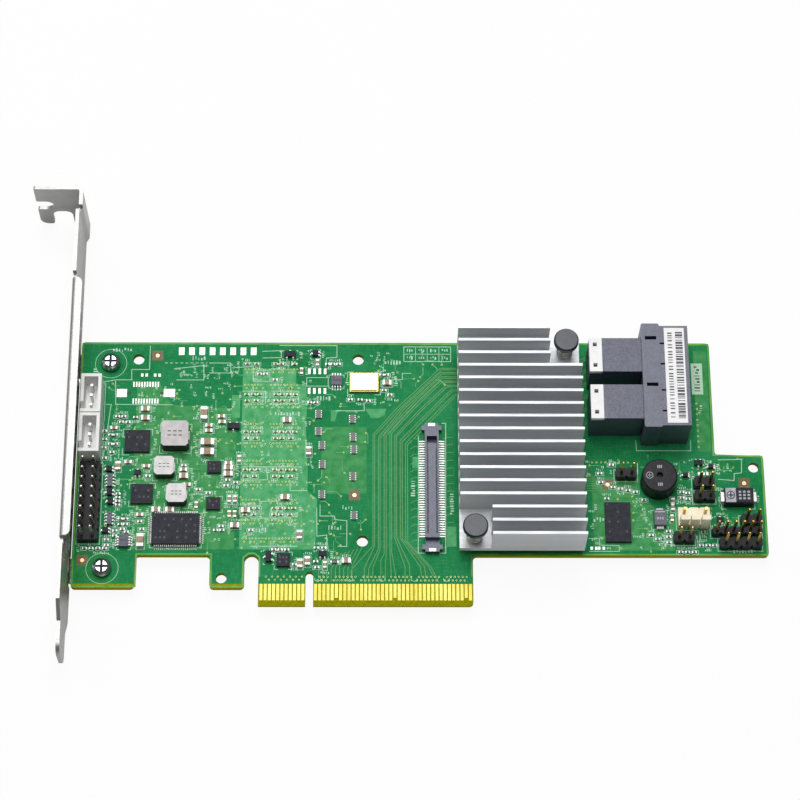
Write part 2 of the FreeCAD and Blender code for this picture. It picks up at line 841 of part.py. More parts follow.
def add_feet(body):
    """Two feet folded under the board, each with a hole for its screw."""
    plate = size.plate_thickness
    edge = plate_outer + size.foot_reach
    feet = new_sketch(body, "feet", "XY_Plane", under_side)
    corners = []
    bends = []
    for centre in foot_centres:
        low = centre - size.foot_width / 2
        high = centre + size.foot_width / 2
        draw_box(feet, (plate_outer, low), (edge, high))
        corners += [("Z", edge, low), ("Z", edge, high)]
    add_pad(body, feet, plate, reverse=True)
    round_edges(body, "foot_corners", corners, size.foot_corner_radius)
    bends.append(("Y", plate_outer, under_side - plate))
    round_edges(body, "foot_bends", bends, plate)
    round_edges(body, "foot_inner_bends", [("Y", plate_inner, under_side)], size.inner_bend_radius)
    holes = new_sketch(body, "foot_holes", "XY_Plane", under_side)
    for centre in foot_centres:
        draw_circle(holes, (screw_x, centre), size.screw_thread_diameter + 2 * size.screw_thread_clearance)
    cut_pocket(body, holes, plate * 2)


def make_screws():
    """Pan-head cross-recess screws; the form stands on its own origin, head upwards."""
    form = new_body("screw_form")
    radius = size.screw_head_diameter / 2
    shank = size.screw_thread_diameter / 2
    reach = under_side - size.plate_thickness - size.screw_tip_length
    edge_height = size.screw_head_height * 0.55
    crown = radius * 0.6
    half = new_sketch(form, "screw_half", "XZ_Plane")
    draw_outline(half, [(0, reach), (shank - 0.3, reach), (shank, reach + 0.3), (shank, 0), (radius, 0),
                        (radius, edge_height), (radius * 0.9, size.screw_head_height * 0.85),
                        (crown, size.screw_head_height), (0, size.screw_head_height)])
    turned = form.newObject("PartDesign::Revolution", "screw_turned")
    turned.Profile = half
    turned.ReferenceAxis = (half, ["V_Axis"])
    turned.Angle = 360
    doc.recompute()
    arm = size.recess_width / 2
    span = size.recess_span / 2
    cross = new_sketch(form, "cross_recess", "XY_Plane", size.screw_head_height)
    draw_outline(cross, [(-span, -arm), (-arm, -arm), (-arm, -span), (arm, -span), (arm, -arm),
                         (span, -arm), (span, arm), (arm, arm), (arm, span), (-arm, span),
                         (-arm, arm), (-span, arm)])
    cut_pocket(form, cross, size.recess_depth)
    copies("bracket_screws", form, [(screw_x, centre, 0) for centre in foot_centres])


# ---------------------------------------------------------------- heat sink group

def make_heat_sink():
    """An extruded fin block with two milled corners and a hole at each push pin."""
    body = new_body("heat_sink")
    base = new_sketch(body, "sink_base", "XY_Plane", sink_low)
    draw_box(base, (size.sink_left, sink_front), (sink_right, sink_front + sink_length))
    add_pad(body, base, size.sink_base_thickness)
    fin = new_sketch(body, "sink_fin", "XY_Plane", sink_floor)
    draw_box(fin, (size.sink_left, sink_front), (sink_right, sink_front + size.fin_thickness))
    first_fin = add_pad(body, fin, size.fin_height)
    repeat(body, first_fin, "Y_Axis", size.fin_pitch, size.fin_count)
    milled_depth = size.fin_pitch * size.milled_corner_fins - (size.fin_pitch - size.fin_thickness) / 2
    corners = new_sketch(body, "milled_corners", "XY_Plane", sink_top)
    draw_box(corners, (size.sink_left - 1, sink_front - 1),
             (size.sink_left + size.milled_corner_width, sink_front + milled_depth))
    draw_box(corners, (sink_right - size.milled_corner_width, sink_front + sink_length - milled_depth),
             (sink_right + 1, sink_front + sink_length + 1))
    cut_pocket(body, corners, size.fin_height)
    holes = new_sketch(body, "sink_holes", "XY_Plane", sink_floor)
    for place in push_pin_places:
        draw_circle(holes, place, size.pin_hole_diameter)
    cut_pocket(body, holes, size.sink_base_thickness * 1.5)
    node(body, "heat_sink")


def make_controller_chip():
    """Flip-chip package with its lid, and the pad that carries heat to the sink."""
    x, y = sink_centre
    substrate = block("chip_substrate", (x - size.chip_width / 2, y - size.chip_width / 2, 0),
                      (size.chip_width, size.chip_width, size.chip_substrate_height))
    lid = block("chip_lid", (x - size.chip_lid_width / 2, y - size.chip_lid_width / 2,
                             size.chip_substrate_height),
                (size.chip_lid_width, size.chip_lid_width, size.chip_lid_height))
    package = doc.addObject("Part::Fuse", "controller_package")
    package.Base = substrate
    package.Tool = lid
    node(package, "controller_chip")
    pad = block("heat_pad", (x - size.chip_lid_width / 2, y - size.chip_lid_width / 2,
                             size.chip_substrate_height + size.chip_lid_height),
                (size.chip_lid_width, size.chip_lid_width, size.pad_thickness))
    node(pad, "thermal_pad")


def make_push_pins():
    """Moulded pins with a flat head and a split, barbed tip that snaps under the board."""
    form = new_body("push_pin_form")
    head = size.pin_head_diameter / 2
    shaft = size.pin_shaft_diameter / 2
    barb = size.barb_diameter / 2
    rise = size.pin_head_rise
    head_low = rise - size.pin_head_height
    catch = under_side - 0.1
    tip = under_side - size.barb_length
    half = new_sketch(form, "pin_half", "XZ_Plane")
    draw_outline(half, [(0, tip), (shaft * 0.75, tip), (barb, catch - 0.7), (barb, catch),
                        (shaft, catch), (shaft, head_low), (head - 0.4, head_low), (head, head_low + 0.4),
                        (head, rise - 0.3), (head - 0.3, rise), (0, rise)])
    turned = form.newObject("PartDesign::Revolution", "pin_turned")
    turned.Profile = half
    turned.ReferenceAxis = (half, ["V_Axis"])
    turned.Angle = 360
    doc.recompute()
    slit = new_sketch(form, "pin_slit", "XZ_Plane")
    draw_box(slit, (-size.barb_slit / 2, tip - 1), (size.barb_slit / 2, 0))
    cut_pocket(form, slit, symmetric=True)
    copies("push_pins", form, [(x, y, 0) for x, y in push_pin_places])


def make_springs():
    """Compression springs under the heads of the push pins, swept with an eight-sided wire."""
    wire = size.spring_wire.value / 2
    mean = size.spring_diameter.value / 2 - wire
    low = sink_floor.value + wire
    high = (size.pin_head_rise - size.pin_head_height).value - wire
    turns = size.spring_turns.value
    springs = []
    for x, y in push_pin_places:
        helix = Part.makeHelix((high - low) / turns, high - low, mean)
        corners = [Vector(mean + wire * math.cos(math.pi * step / 4), 0, wire * math.sin(math.pi * step / 4))
                   for step in range(8)]
        section = Part.makePolygon(corners + corners[:1])
        coil = Part.Wire(helix.Edges).makePipeShell([section], True, True)
        coil.Placement = Placement(Vector(x.value, y.value, low), Rotation())
        springs.append(coil)
    solids_node("push_pin_springs", springs)


# ---------------------------------------------------------------- dual cable port

def make_port_housing():
    """Right-angle housing with two mouths towards the far end of the card."""
    body = new_body("port_housing")
    collar_front = port_back + size.port_collar_length
    front = size.port_right_edge
    collar = new_sketch(body, "port_collar", "XY_Plane")
    draw_box(collar, (port_back, port_low), (collar_front, port_top))
    add_pad(body, collar, size.port_height)
    shell = new_sketch(body, "port_shell", "XY_Plane")
    draw_box(shell, (port_back, port_low + size.port_step), (front, port_top - size.port_step))
    add_pad(body, shell, size.port_height - size.port_roof_step)
    round_edges(body, "collar_corners", [
        ("Z", port_back, port_low),
        ("Z", port_back, port_top),
        ("Z", collar_front, port_low),
        ("Z", collar_front, port_top),
    ], size.port_step * 0.9)
    mouths = new_sketch(body, "port_mouths", "YZ_Plane", front)
    for axis in port_axes:
        draw_box(mouths, (axis - size.mouth_width / 2, size.mouth_floor),
                 (axis + size.mouth_width / 2, size.mouth_floor + size.mouth_height))
    cut_pocket(body, mouths)
    latches = new_sketch(body, "latch_slots", "XY_Plane", size.port_height)
    for axis in port_axes:
        high = axis + size.mouth_width / 2 - size.latch_slot_inset
        draw_box(latches, (port_back + size.latch_slot_inset, high - size.latch_slot_width),
                 (port_back + size.latch_slot_inset + size.latch_slot_length, high))
        for offset in (-1, 1):
            middle = axis + (size.mouth_width / 4) * offset
            draw_box(latches, (collar_front + 0.1, middle - size.latch_slot_width / 4),
                     (collar_front + size.port_label_inset + 0.6, middle + size.latch_slot_width / 4))
    roof = size.port_height - size.mouth_floor - size.mouth_height
    cut_pocket(body, latches, roof)
    node(body, "port_housing")


def make_port_modules():
    """Contact blocks behind the housing, their noses in the mouths, combs and blades."""
    form = new_body("port_block_form")
    half = size.block_width / 2
    rear = new_sketch(form, "block_rear", "XY_Plane")
    draw_box(rear, (-size.block_length, -half), (0, half))
    add_pad(form, rear, size.block_height)
    heel_height = size.block_height - size.comb_thickness
    heel = new_sketch(form, "block_heel", "XY_Plane")
    draw_box(heel, (-size.block_length - size.comb_length, -half), (-size.block_length, half))
    add_pad(form, heel, heel_height)
    nose_middle = size.mouth_floor + size.mouth_height / 2
    nose_low = nose_middle - size.nose_height / 2
    nose = new_sketch(form, "block_nose", "XY_Plane", nose_low)
    draw_box(nose, (-size.corner_radius, -size.nose_width / 2), (size.nose_length, size.nose_width / 2))
    add_pad(form, nose, size.nose_height)
    slots = new_sketch(form, "nose_slots", "YZ_Plane", size.nose_length)
    slot_half = size.nose_width / 2 - size.nose_slot_height / 2
    levels = [nose_middle - size.nose_slot_spacing / 2, nose_middle + size.nose_slot_spacing / 2]
    for level in levels:
        draw_box(slots, (-slot_half, level - size.nose_slot_height / 2),
                 (slot_half, level + size.nose_slot_height / 2))
    cut_pocket(form, slots, size.nose_slot_depth)
    copies("port_contact_blocks", form, [(port_back, axis, 0) for axis in port_axes])

    comb = new_body("port_comb_form")
    plate = new_sketch(comb, "comb_plate", "XY_Plane", heel_height)
    draw_box(plate, (-size.block_length - size.comb_length, -half), (-size.block_length, half))
    add_pad(comb, plate, size.comb_thickness)
    windows = new_sketch(comb, "comb_windows", "XY_Plane", size.block_height)
    middle = -size.block_length - size.comb_length * 0.55
    reach = size.comb_window / 2
    for side in (-1, 1):
        centre = (half - size.comb_window_inset - reach) * side
        draw_box(windows, (middle - reach, centre - reach), (middle + reach, centre + reach))
    cut_pocket(comb, windows, size.comb_thickness)
    copies("port_combs", comb, [(port_back, axis, 0) for axis in port_axes])

    blades = []
    count = int(size.blade_count.value)
    start = (port_back + size.nose_length - size.blade_length / 2 - 0.4).value
    for axis in port_axes:
        for level in levels:
            floor = (level - size.nose_slot_height / 2).value
            ceiling = (level + size.nose_slot_height / 2 - size.blade_thickness).value
            for index in range(count):
                place = axis.value + (index - (count - 1) / 2) * size.blade_pitch.value
                for bottom in (floor, ceiling):
                    blades.append(solid_box(start, place, bottom, size.blade_length.value,
                                            size.blade_width.value, size.blade_thickness.value))
    solids_node("port_contacts", blades)


def make_labels():
    """A blank label on the port's roof and one on the board beside it."""
    roof = size.port_height - size.port_roof_step
    right = size.port_right_edge - size.port_label_inset
    middle = (port_low + port_top) / 2
    node(block("port_label_plate", (right - size.port_label_length, middle - size.port_label_width / 2, roof),
               (size.port_label_length, size.port_label_width, size.label_thickness)), "port_label")
    left = size.port_right_edge + size.board_label_gap
    low = top_edge - size.board_label_drop - size.board_label_width
    node(block("board_label_plate", (left, low, 0),
               (size.board_label_length, size.board_label_width, size.label_thickness)), "board_label")


def make_buzzer():
    """Round sounder with its sound port in the middle of the lid."""
    body = new_body("buzzer")
    x = right_edge - size.buzzer_inset
    y = size.lower_edge + size.buzzer_rise
    case = new_sketch(body, "buzzer_case", "XY_Plane")
    draw_circle(case, (x, y), size.buzzer_diameter)
    add_pad(body, case, size.buzzer_height)
    base = body.Tip
    top_ring = ["Edge%d" % index for index, edge in enumerate(base.Shape.Edges, start=1)
                if len(edge.Vertexes) == 1 and edge.CenterOfMass.z > size.buzzer_height.value - 0.01]
    rounding = body.newObject("PartDesign::Fillet", "buzzer_rim")
    rounding.Base = (base, top_ring)
    rounding.setExpression("Radius", size.buzzer_edge_radius.text)
    doc.recompute()
    port = new_sketch(body, "buzzer_port", "XY_Plane", size.buzzer_height)
    draw_circle(port, (x, y), size.buzzer_port_diameter)
    cut_pocket(body, port, size.buzzer_port_depth)
    node(body, "buzzer")


# ---------------------------------------------------------------- pin headers and sockets

def make_pin_forms():
    """A square pin with a pointed end, standing on the board."""
    form = new_body("pin_form")
    half = size.pin_width / 2
    section = new_sketch(form, "pin_section", "XY_Plane")
    draw_box(section, (-half, -half), (half, half))
    add_pad(form, section, size.pin_top)
    bevel_edges(form, "pin_end", [
        ("X", -half, size.pin_top), ("X", half, size.pin_top),
        ("Y", -half, size.pin_top), ("Y", half, size.pin_top),
    ], size.pin_point)
    return form


def header_form(label, centre, pins_across, pins_along, pitch, axis):
    """A row of moulded cells with chamfered corners, and the places of its pins."""
    body = new_body(label)
    x, y = centre
    along_x = axis == "X_Axis"
    width = pitch * (1 if along_x else pins_across)
    depth = pitch * (pins_across if along_x else 1)
    first_x = x - pitch * (pins_along - 1) / 2 if along_x else x
    first_y = y if along_x else y - pitch * (pins_along - 1) / 2
    cut = size.header_cell_chamfer
    cell = new_sketch(body, label + "_cell", "XY_Plane")
    left, right = first_x - width / 2, first_x + width / 2
    low, high = first_y - depth / 2, first_y + depth / 2
    draw_outline(cell, [(left + cut, low), (right - cut, low), (right, low + cut), (right, high - cut),
                        (right - cut, high), (left + cut, high), (left, high - cut), (left, low + cut)])
    pad = add_pad(body, cell, size.header_body_height)
    repeat(body, pad, axis, pitch, pins_along)
    holes = new_sketch(body, label + "_holes", "XY_Plane", size.header_body_height)
    places = []
    half = size.pin_width / 2
    for across in range(pins_across):
        offset = pitch * (across - (pins_across - 1) / 2)
        place = (first_x, first_y + offset) if along_x else (first_x + offset, first_y)
        draw_box(holes, (place[0] - half, place[1] - half), (place[0] + half, place[1] + half))
        for along in range(int(as_term(pins_along).value)):
            shift = pitch * along
            places.append((place[0] + shift, place[1]) if along_x else (place[0], place[1] + shift))
    pocket = cut_pocket(body, holes)
    repeat(body, pocket, axis, pitch, pins_along)
    return body, places


def make_headers():
    """All the black pin headers and the pins that stand in them."""
    pin = make_pin_forms()
    pitch = size.header_pitch
    fine = size.fine_header_pitch
    low = size.lower_edge
    big_centre = (left_edge + size.big_header_inset,
                  low + size.big_header_rise)
    body, pins = header_form("management_header", big_centre, 2, size.big_header_rows, pitch, "Y_Axis")
    node(body, "management_header")
    copies("management_header_pins", pin, [(x, y, 0) for x, y in pins])

    small = []
    body, places = header_form("serial_header", (right_edge - 6.85, low + 2.75), 1, 4, pitch, "X_Axis")
    node(body, "serial_header")
    small += places
    body, places = header_form("indicator_header", (right_edge - 7.6, low + 5.75), 1, 6, fine, "X_Axis")
    node(body, "indicator_header")
    small += places
    form, places = header_form("jumper_form", (0, 0), 1, 2, pitch, "X_Axis")
    pairs = [
        (right_edge - 33.8, low + 20.7, 0),
        (right_edge - 14.95, low + 18.4, 0),
        (right_edge - 14.95, low + 14.9, 0),
        (right_edge - 20.45, low + 4.2, 0),
        (right_edge - 4.0, low + 8.75, 0),
    ]
    copies("jumper_headers", form, pairs)
    small += [(x + px, y + py) for x, y, z in pairs for px, py in places]
    copies("small_header_pins", pin, [(x, y, 0) for x, y in small])
    return pins + small


def make_shrouded_sockets():
    """Two white three-pin sockets, open upwards, with a keying notch in one wall."""
    form = new_body("shroud_form")
    half_x = size.shroud_width / 2
    half_y = size.shroud_length / 2
    wall = size.shroud_wall
    case = new_sketch(form, "shroud_case", "XY_Plane")
    draw_box(case, (-half_x, -half_y), (half_x, half_y))
    add_pad(form, case, size.shroud_height)
    well = new_sketch(form, "shroud_well", "XY_Plane", size.shroud_height)
    draw_box(well, (-half_x + wall, -half_y + wall), (half_x - wall, half_y - wall))
    cut_pocket(form, well, size.shroud_height - size.shroud_floor)
    notch = new_sketch(form, "shroud_notch", "YZ_Plane", -half_x)
    notch_low = -half_y + wall
    draw_outline(notch, [(notch_low, size.shroud_height + 1), (notch_low, size.shroud_height - 2.4),
                         (notch_low + size.shroud_notch * 0.5, size.shroud_height - 2.4),
                         (notch_low + size.shroud_notch, size.shroud_height + 1)])
    cut_pocket(form, notch, wall, reverse=True)
    half = size.pin_width / 2
    holes = new_sketch(form, "shroud_holes", "XY_Plane", size.shroud_floor)
    offsets = [size.header_pitch * step for step in (-1, 0, 1)]
    for offset in offsets:
        draw_box(holes, (-half, offset - half), (half, offset + half))
    cut_pocket(form, holes)
    x = left_edge + 3.5
    header_top = (size.lower_edge + size.big_header_rise
                  + size.header_pitch * size.big_header_rows / 2)
    first = header_top + size.shroud_gap * 3 + half_y
    second = first + size.shroud_length + size.shroud_gap
    copies("shrouded_sockets", form, [(x, first, 0), (x, second, 0)])
    pins = []
    for centre in (first, second):
        for offset in offsets:
            pins.append((x, centre + offset))
    short_pin = block("shroud_pin", (-half, -half, 0), (size.pin_width, size.pin_width, size.shroud_pin_top))
    copies("shrouded_socket_pins", short_pin, [(px, py, 0) for px, py in pins])
    return pins


def make_ivory_header():
    """Three-way ivory header: a grooved base, a locking prong for each way, and two of three pins."""
    body = new_body("ivory_header")
    x = right_edge - 17.9
    front = size.lower_edge + 6.9
    back = front + size.ivory_base_depth
    half_x = size.header_pitch * 1.5
    groove = size.ivory_groove
    joints = [x - size.header_pitch / 2, x + size.header_pitch / 2]
    corners = [(x - half_x, front)]
    for joint in joints:
        corners += [(joint - groove, front), (joint, front + groove), (joint + groove, front)]
    corners += [(x + half_x, front), (x + half_x, back)]
    for joint in reversed(joints):
        corners += [(joint + groove, back), (joint, back - groove), (joint - groove, back)]
    corners.append((x - half_x, back))
    base = new_sketch(body, "ivory_base", "XY_Plane")
    draw_outline(base, corners)
    add_pad(body, base, size.ivory_base_height)
    ways = [x - size.header_pitch, x, x + size.header_pitch]
    prongs = new_sketch(body, "ivory_prongs", "XY_Plane")
    for way in ways:
        draw_box(prongs, (way - size.ivory_prong_width / 2, front),
                 (way + size.ivory_prong_width / 2, front + size.ivory_prong_depth))
    add_pad(body, prongs, size.ivory_prong_height)
    pins = [(ways[0], front + size.ivory_pin_setback), (ways[2], front + size.ivory_pin_setback)]
    half = size.pin_width / 2
    holes = new_sketch(body, "ivory_holes", "XY_Plane", size.ivory_base_height)
    for px, py in pins:
        draw_box(holes, (px - half, py - half), (px + half, py + half))
    cut_pocket(body, holes)
    node(body, "ivory_header")
    ivory_pin = block("ivory_pin", (-half, -half, 0), (size.pin_width, size.pin_width, size.ivory_prong_height))
    copies("ivory_header_pins", ivory_pin, [(px, py, 0) for px, py in pins])
    return pins


def make_solder_tails(pins):
    """Soldered ends of the through-hole pins, seated on the back of the board."""
    tails = []
    width = size.tail_width.value
    length = size.tail_length.value
    bottom = under_side.value - length
    for x, y in pins:
        tail = Part.makeWedge(0, 0, 0, 0.25, 0.25, width, length, width, width - 0.25, width - 0.25)
        tail.Placement = Placement(Vector(x.value - width / 2, y.value - width / 2, bottom + length),
                                   Rotation(Vector(1, 0, 0), -90))
        tails.append(tail)
    return tails


# ---------------------------------------------------------------- mezzanine socket

def make_mezzanine_socket():
    """Long board-to-board socket: a walled case with a centre rib, and an ear at each end."""
    body = new_body("mezzanine_socket")
    x, y = size.socket_x, size.socket_y
    half_x = size.socket_width / 2
    half_y = size.socket_length / 2
    half_case = size.socket_case_length / 2
    foot = new_sketch(body, "socket_foot", "XY_Plane")
    draw_box(foot, (x - half_x, y - half_y), (x + half_x, y + half_y))
    add_pad(body, foot, size.socket_ear_height)
    case = new_sketch(body, "socket_case", "XY_Plane")
    draw_box(case, (x - half_x, y - half_case), (x + half_x, y + half_case))
    add_pad(body, case, size.socket_height)
    ears = new_sketch(body, "socket_ears", "XY_Plane")
    ear_inset = size.socket_ear_length
    for side in (-1, 1):
        middle = y + (half_y - ear_inset) * side
        draw_box(ears, (x - size.socket_ear_width / 2, middle - ear_inset / 2),
                 (x + size.socket_ear_width / 2, middle + ear_inset / 2))
    add_pad(body, ears, size.socket_ear_height)
    well = new_sketch(body, "socket_well", "XY_Plane", size.socket_height)
    well_low = y - half_case + size.socket_end_wall
    well_high = y + half_case - size.socket_end_wall
    draw_box(well, (x - half_x + size.socket_wall, well_low), (x + half_x - size.socket_wall, well_high))
    cut_pocket(body, well, size.socket_well_depth)
    rib = new_sketch(body, "socket_rib", "XY_Plane")
    draw_box(rib, (x - size.socket_rib_width / 2, well_low - size.socket_end_wall / 2),
             (x + size.socket_rib_width / 2, well_high - size.socket_rib_end_gap))
    add_pad(body, rib, size.socket_height)
    node(body, "mezzanine_socket")
    leads = []
    count = int(size.lead_count.value)
    for side in (-1, 1):
        centre = x.value + side * (half_x.value + size.lead_length.value / 2)
        for index in range(count):
            place = y.value + (index - (count - 1) / 2) * size.lead_pitch.value
            leads.append(solid_box(centre, place, 0, size.lead_length.value, size.lead_width.value,
                                   size.lead_thickness.value))
        leads.append(solid_box(x.value, y.value + side * (half_y - size.socket_tab_depth / 2).value,
                               size.socket_ear_height.value, size.socket_tab_width.value,
                               size.socket_tab_depth.value, size.lead_thickness.value))
    solids_node("mezzanine_leads", leads)


# ---------------------------------------------------------------- chips and their leads

def gull_lead(reach, width, seat):
    """A folded lead: foot on the board, riser and shoulder into a body face at x = 0."""
    thick = size.gull_thickness.value
    outline = [
        Vector(0, 0, seat), Vector(reach * 0.4, 0, seat), Vector(reach * 0.6, 0, 0),
        Vector(reach, 0, 0), Vector(reach, 0, thick), Vector(reach * 0.6 + thick * 0.7, 0, thick),
        Vector(reach * 0.4 + thick * 0.7, 0, seat + thick), Vector(0, 0, seat + thick),
    ]
    face = Part.Face(Part.makePolygon(outline + [outline[0]]))
    lead = face.extrude(Vector(0, width, 0))
    lead.translate(Vector(0, -width / 2, 0))
    return lead


def lead_row(centre, face, turn, pitch, count, reach, width, seat):
    """Leads along one side of a body: face is the side's distance from the centre."""
    leads = []
    for index in range(count):
        along = (index - (count - 1) / 2) * pitch
        lead = gull_lead(reach, width, seat)
        lead.translate(Vector(face, along, 0))
        lead.Placement = Placement(Vector(centre[0], centre[1], 0),
                                   Rotation(Vector(0, 0, 1), turn)) * lead.Placement
        leads.append(lead)
    return leads


def make_flat_chips():
    """Leadless regulators, the flash chip and the quad flat pack."""
    left = left_edge.value
    low = size.lower_edge.value
    height = size.thin_chip_height.value
    regulators = [
        (left + 14.7, low + 29.4, 6.1, 5.7),
        (left + 16.3, low + 15.55, 5.2, 5.0),
        (-23.45, low + 22.6, 3.3, 3.0),
        (-23.45, low + 13.1, 3.3, 3.1),
        (-6.3, low - 1.35, 3.2, 3.3),
    ]
    solids_node("regulator_chips", [solid_box(x, y, 0, length, width, height)
                                    for x, y, length, width in regulators])
    x = right_edge - 36.15
    y = size.lower_edge + 8.4
    node(block("flash_package", (x - size.flash_width / 2, y - size.flash_length / 2, 0),
               (size.flash_width, size.flash_length, size.flash_height)), "flash_chip")

    centre = (left + 24.75, low + 6.35)
    lift = size.gull_body_lift
    node(block("quad_package", (centre[0] - size.quad_length / 2, centre[1] - size.quad_width / 2, lift),
               (size.quad_length, size.quad_width, size.quad_height)), "quad_chip")
    seat = lift.value + size.quad_height.value * 0.4
    pitch = size.quad_lead_pitch.value
    width = size.quad_lead_width.value
    reach = size.quad_lead_reach.value
    leads = []
    for turn, face, span in ((0, size.quad_length, size.quad_width), (90, size.quad_width, size.quad_length)):
        count = int((span.value - 1.0) / pitch) + 1
        for flip in (0, 180):
            leads += lead_row(centre, face.value / 2, turn + flip, pitch, count, reach, width, seat)
    solids_node("quad_chip_leads", leads)


def make_leaded_chips():
    """Small outline chips and transistors, with their bodies and leads apart."""
    left = left_edge.value
    right = right_edge.value
    low = size.lower_edge.value
    top = top_edge.value
    lift = size.gull_body_lift.value
    height = size.transistor_height.value
    seat = lift + height * 0.35
    # centre, body length along X, body width along Y, leads: pitch, count, reach and side.
    chips = [
        (left + 12.35, low + 3.5, 2.3, 3.1, 0.65, 4, 0.85, 0),
        (6.15, top - 10.6, 2.6, 2.5, 0.65, 4, 0.95, 90),
        (left + 8.45, low + 19.1, 1.2, 3.2, 0.85, 4, 0.6, 0),
        (left + 8.75, low + 9.2, 1.2, 3.2, 0.85, 4, 0.6, 0),
    ]
    bodies = []
    leads = []
    for x, y, length, width, pitch, count, reach, turn in chips:
        bodies.append(solid_box(x, y, lift, length, width, height))
        face = (length if turn == 0 else width) / 2
        for flip in (0, 180):
            leads += lead_row((x, y), face, turn + flip, pitch, count, reach, 0.28, seat)
    solids_node("small_outline_chips", bodies)
    solids_node("small_outline_leads", leads)

    # centre, body length and width, and the side that carries two leads, in degrees.
    transistors = [
        (-5.4, top - 3.4, 2.7, 1.4, 270),
        (-19.0, top - 22.8, 2.9, 1.5, 90),
        (left + 15.05, low + 21.1, 1.6, 1.3, 270),
        (left + 8.15, low + 22.1, 1.4, 1.3, 0),
        (left + 8.45, low + 16.0, 1.3, 1.5, 0),
        (left + 8.75, low + 13.7, 1.3, 1.5, 0),
        (left + 7.85, low + 6.2, 1.4, 1.4, 0),
        (-9.85, low - 0.5, 1.4, 2.6, 0),
        (0.9, top - 3.2, 1.4, 1.4, 0),
        (3.1, low + 0.2, 1.9, 1.3, 270),
        (right - 16.0, low + 23.9, 1.9, 1.3, 90),
        (right - 13.0, low + 22.9, 1.2, 0.9, 0),
        (right - 19.3, low + 20.7, 1.2, 0.9, 0),
        (right - 11.4, low + 9.0, 1.5, 1.2, 270),
    ]
    bodies = []
    leads = []
    for x, y, length, width, turn in transistors:
        bodies.append(solid_box(x, y, lift, length, width, height))
        across = turn in (90, 270)
        face = (width if across else length) / 2
        pitch = (length if across else width) * 0.6
        leads += lead_row((x, y), face, turn, pitch, 2, 0.5, 0.4, seat)
        leads += lead_row((x, y), face, turn + 180, pitch, 1, 0.5, 0.4, seat)
    solids_node("transistors", bodies)
    solids_node("transistor_leads", leads)


def make_memory_chips():
    """Five memory chips in a column on the back of the board."""
    x = -size.memory_reach - size.memory_length / 2
    bottom = under_side - size.memory_height
    package = block("memory_package", (x, -size.memory_width / 2, bottom),
                    (size.memory_length, size.memory_width, size.memory_height))
    first = size.lower_edge + size.memory_first_rise
    places = [(0, first + size.memory_pitch * step, 0) for step in range(int(size.memory_count.value))]
    copies("memory_chips", package, places)


def make_oscillator():
    """Ceramic base with a metal lid."""
    x = as_term(12.95)
    y = top_edge - 11.05
    margin = size.oscillator_lid_margin
    half_x = size.oscillator_length / 2
    half_y = size.oscillator_width / 2
    node(block("oscillator_tray", (x - half_x, y - half_y, 0),
               (size.oscillator_length, size.oscillator_width, size.oscillator_base_height)),
         "oscillator_base")
    node(block("oscillator_cover", (x - half_x + margin, y - half_y + margin, size.oscillator_base_height),
               (size.oscillator_length - margin * 2, size.oscillator_width - margin * 2,
                size.oscillator_lid_height)), "oscillator_lid")


def inductor_form(name, width, height):
    """A moulded choke with cut corners."""
    form = new_body(name)
    half = width / 2
    cut = size.inductor_chamfer
    outline = new_sketch(form, name + "_outline", "XY_Plane")
    draw_outline(outline, [(-half + cut, -half), (half - cut, -half), (half, -half + cut), (half, half - cut),
                           (half - cut, half), (-half + cut, half), (-half, half - cut), (-half, -half + cut)])
    add_pad(form, outline, height)
    return form


def make_inductors():
    """Three power inductors with clip terminals on two of their sides."""
    big = (left_edge + 24.0, size.lower_edge + 30.3)
    small = [(left_edge + 21.6, size.lower_edge + 22.15), (left_edge + 24.75, size.lower_edge + 15.0)]
    big_form = inductor_form("big_inductor_form", size.big_inductor_width, size.big_inductor_height)
    small_form = inductor_form("small_inductor_form", size.small_inductor_width, size.small_inductor_height)
    copies("large_inductor", big_form, [(big[0], big[1], 0)])
    copies("small_inductors", small_form, [(x, y, 0) for x, y in small])
    clips = []
    thick = size.inductor_clip_thickness.value
    for (x, y), width, height in (
        (big, size.big_inductor_width, size.big_inductor_height),
        (small[0], size.small_inductor_width, size.small_inductor_height),
        (small[1], size.small_inductor_width, size.small_inductor_height),
    ):
        for side in (-1, 1):
            face = x.value + side * (width.value / 2 + thick / 2)
            clips.append(solid_box(face, y.value, 0, thick, size.inductor_clip_width.value,
                                   height.value * 0.6))
    solids_node("inductor_terminals", clips)


def make_tantalum_capacitor():
    """Moulded case with a chamfered roof and a folded terminal at each end."""
    body = new_body("tantalum_capacitor")
    x = right_edge - 6.75
    y = size.lower_edge + 14.65
    half_x = size.tantalum_length / 2
    half_y = size.tantalum_width / 2
    case = new_sketch(body, "tantalum_case", "XY_Plane")
    draw_box(case, (x - half_x, y - half_y), (x + half_x, y + half_y))
    add_pad(body, case, size.tantalum_height)
    top = size.tantalum_height
    bevel_edges(body, "tantalum_roof", [
        ("X", y - half_y, top), ("X", y + half_y, top),
        ("Y", x - half_x, top), ("Y", x + half_x, top),
    ], size.tantalum_chamfer)
    node(body, "tantalum_capacitor")
    clips = []
    reach = size.tantalum_clip_length.value
    for side in (-1, 1):
        centre = x.value + side * (half_x.value + reach / 2)
        clips.append(solid_box(centre, y.value, 0, reach, size.tantalum_clip_width.value,
                               size.tantalum_clip_height.value))
    solids_node("tantalum_terminals", clips)


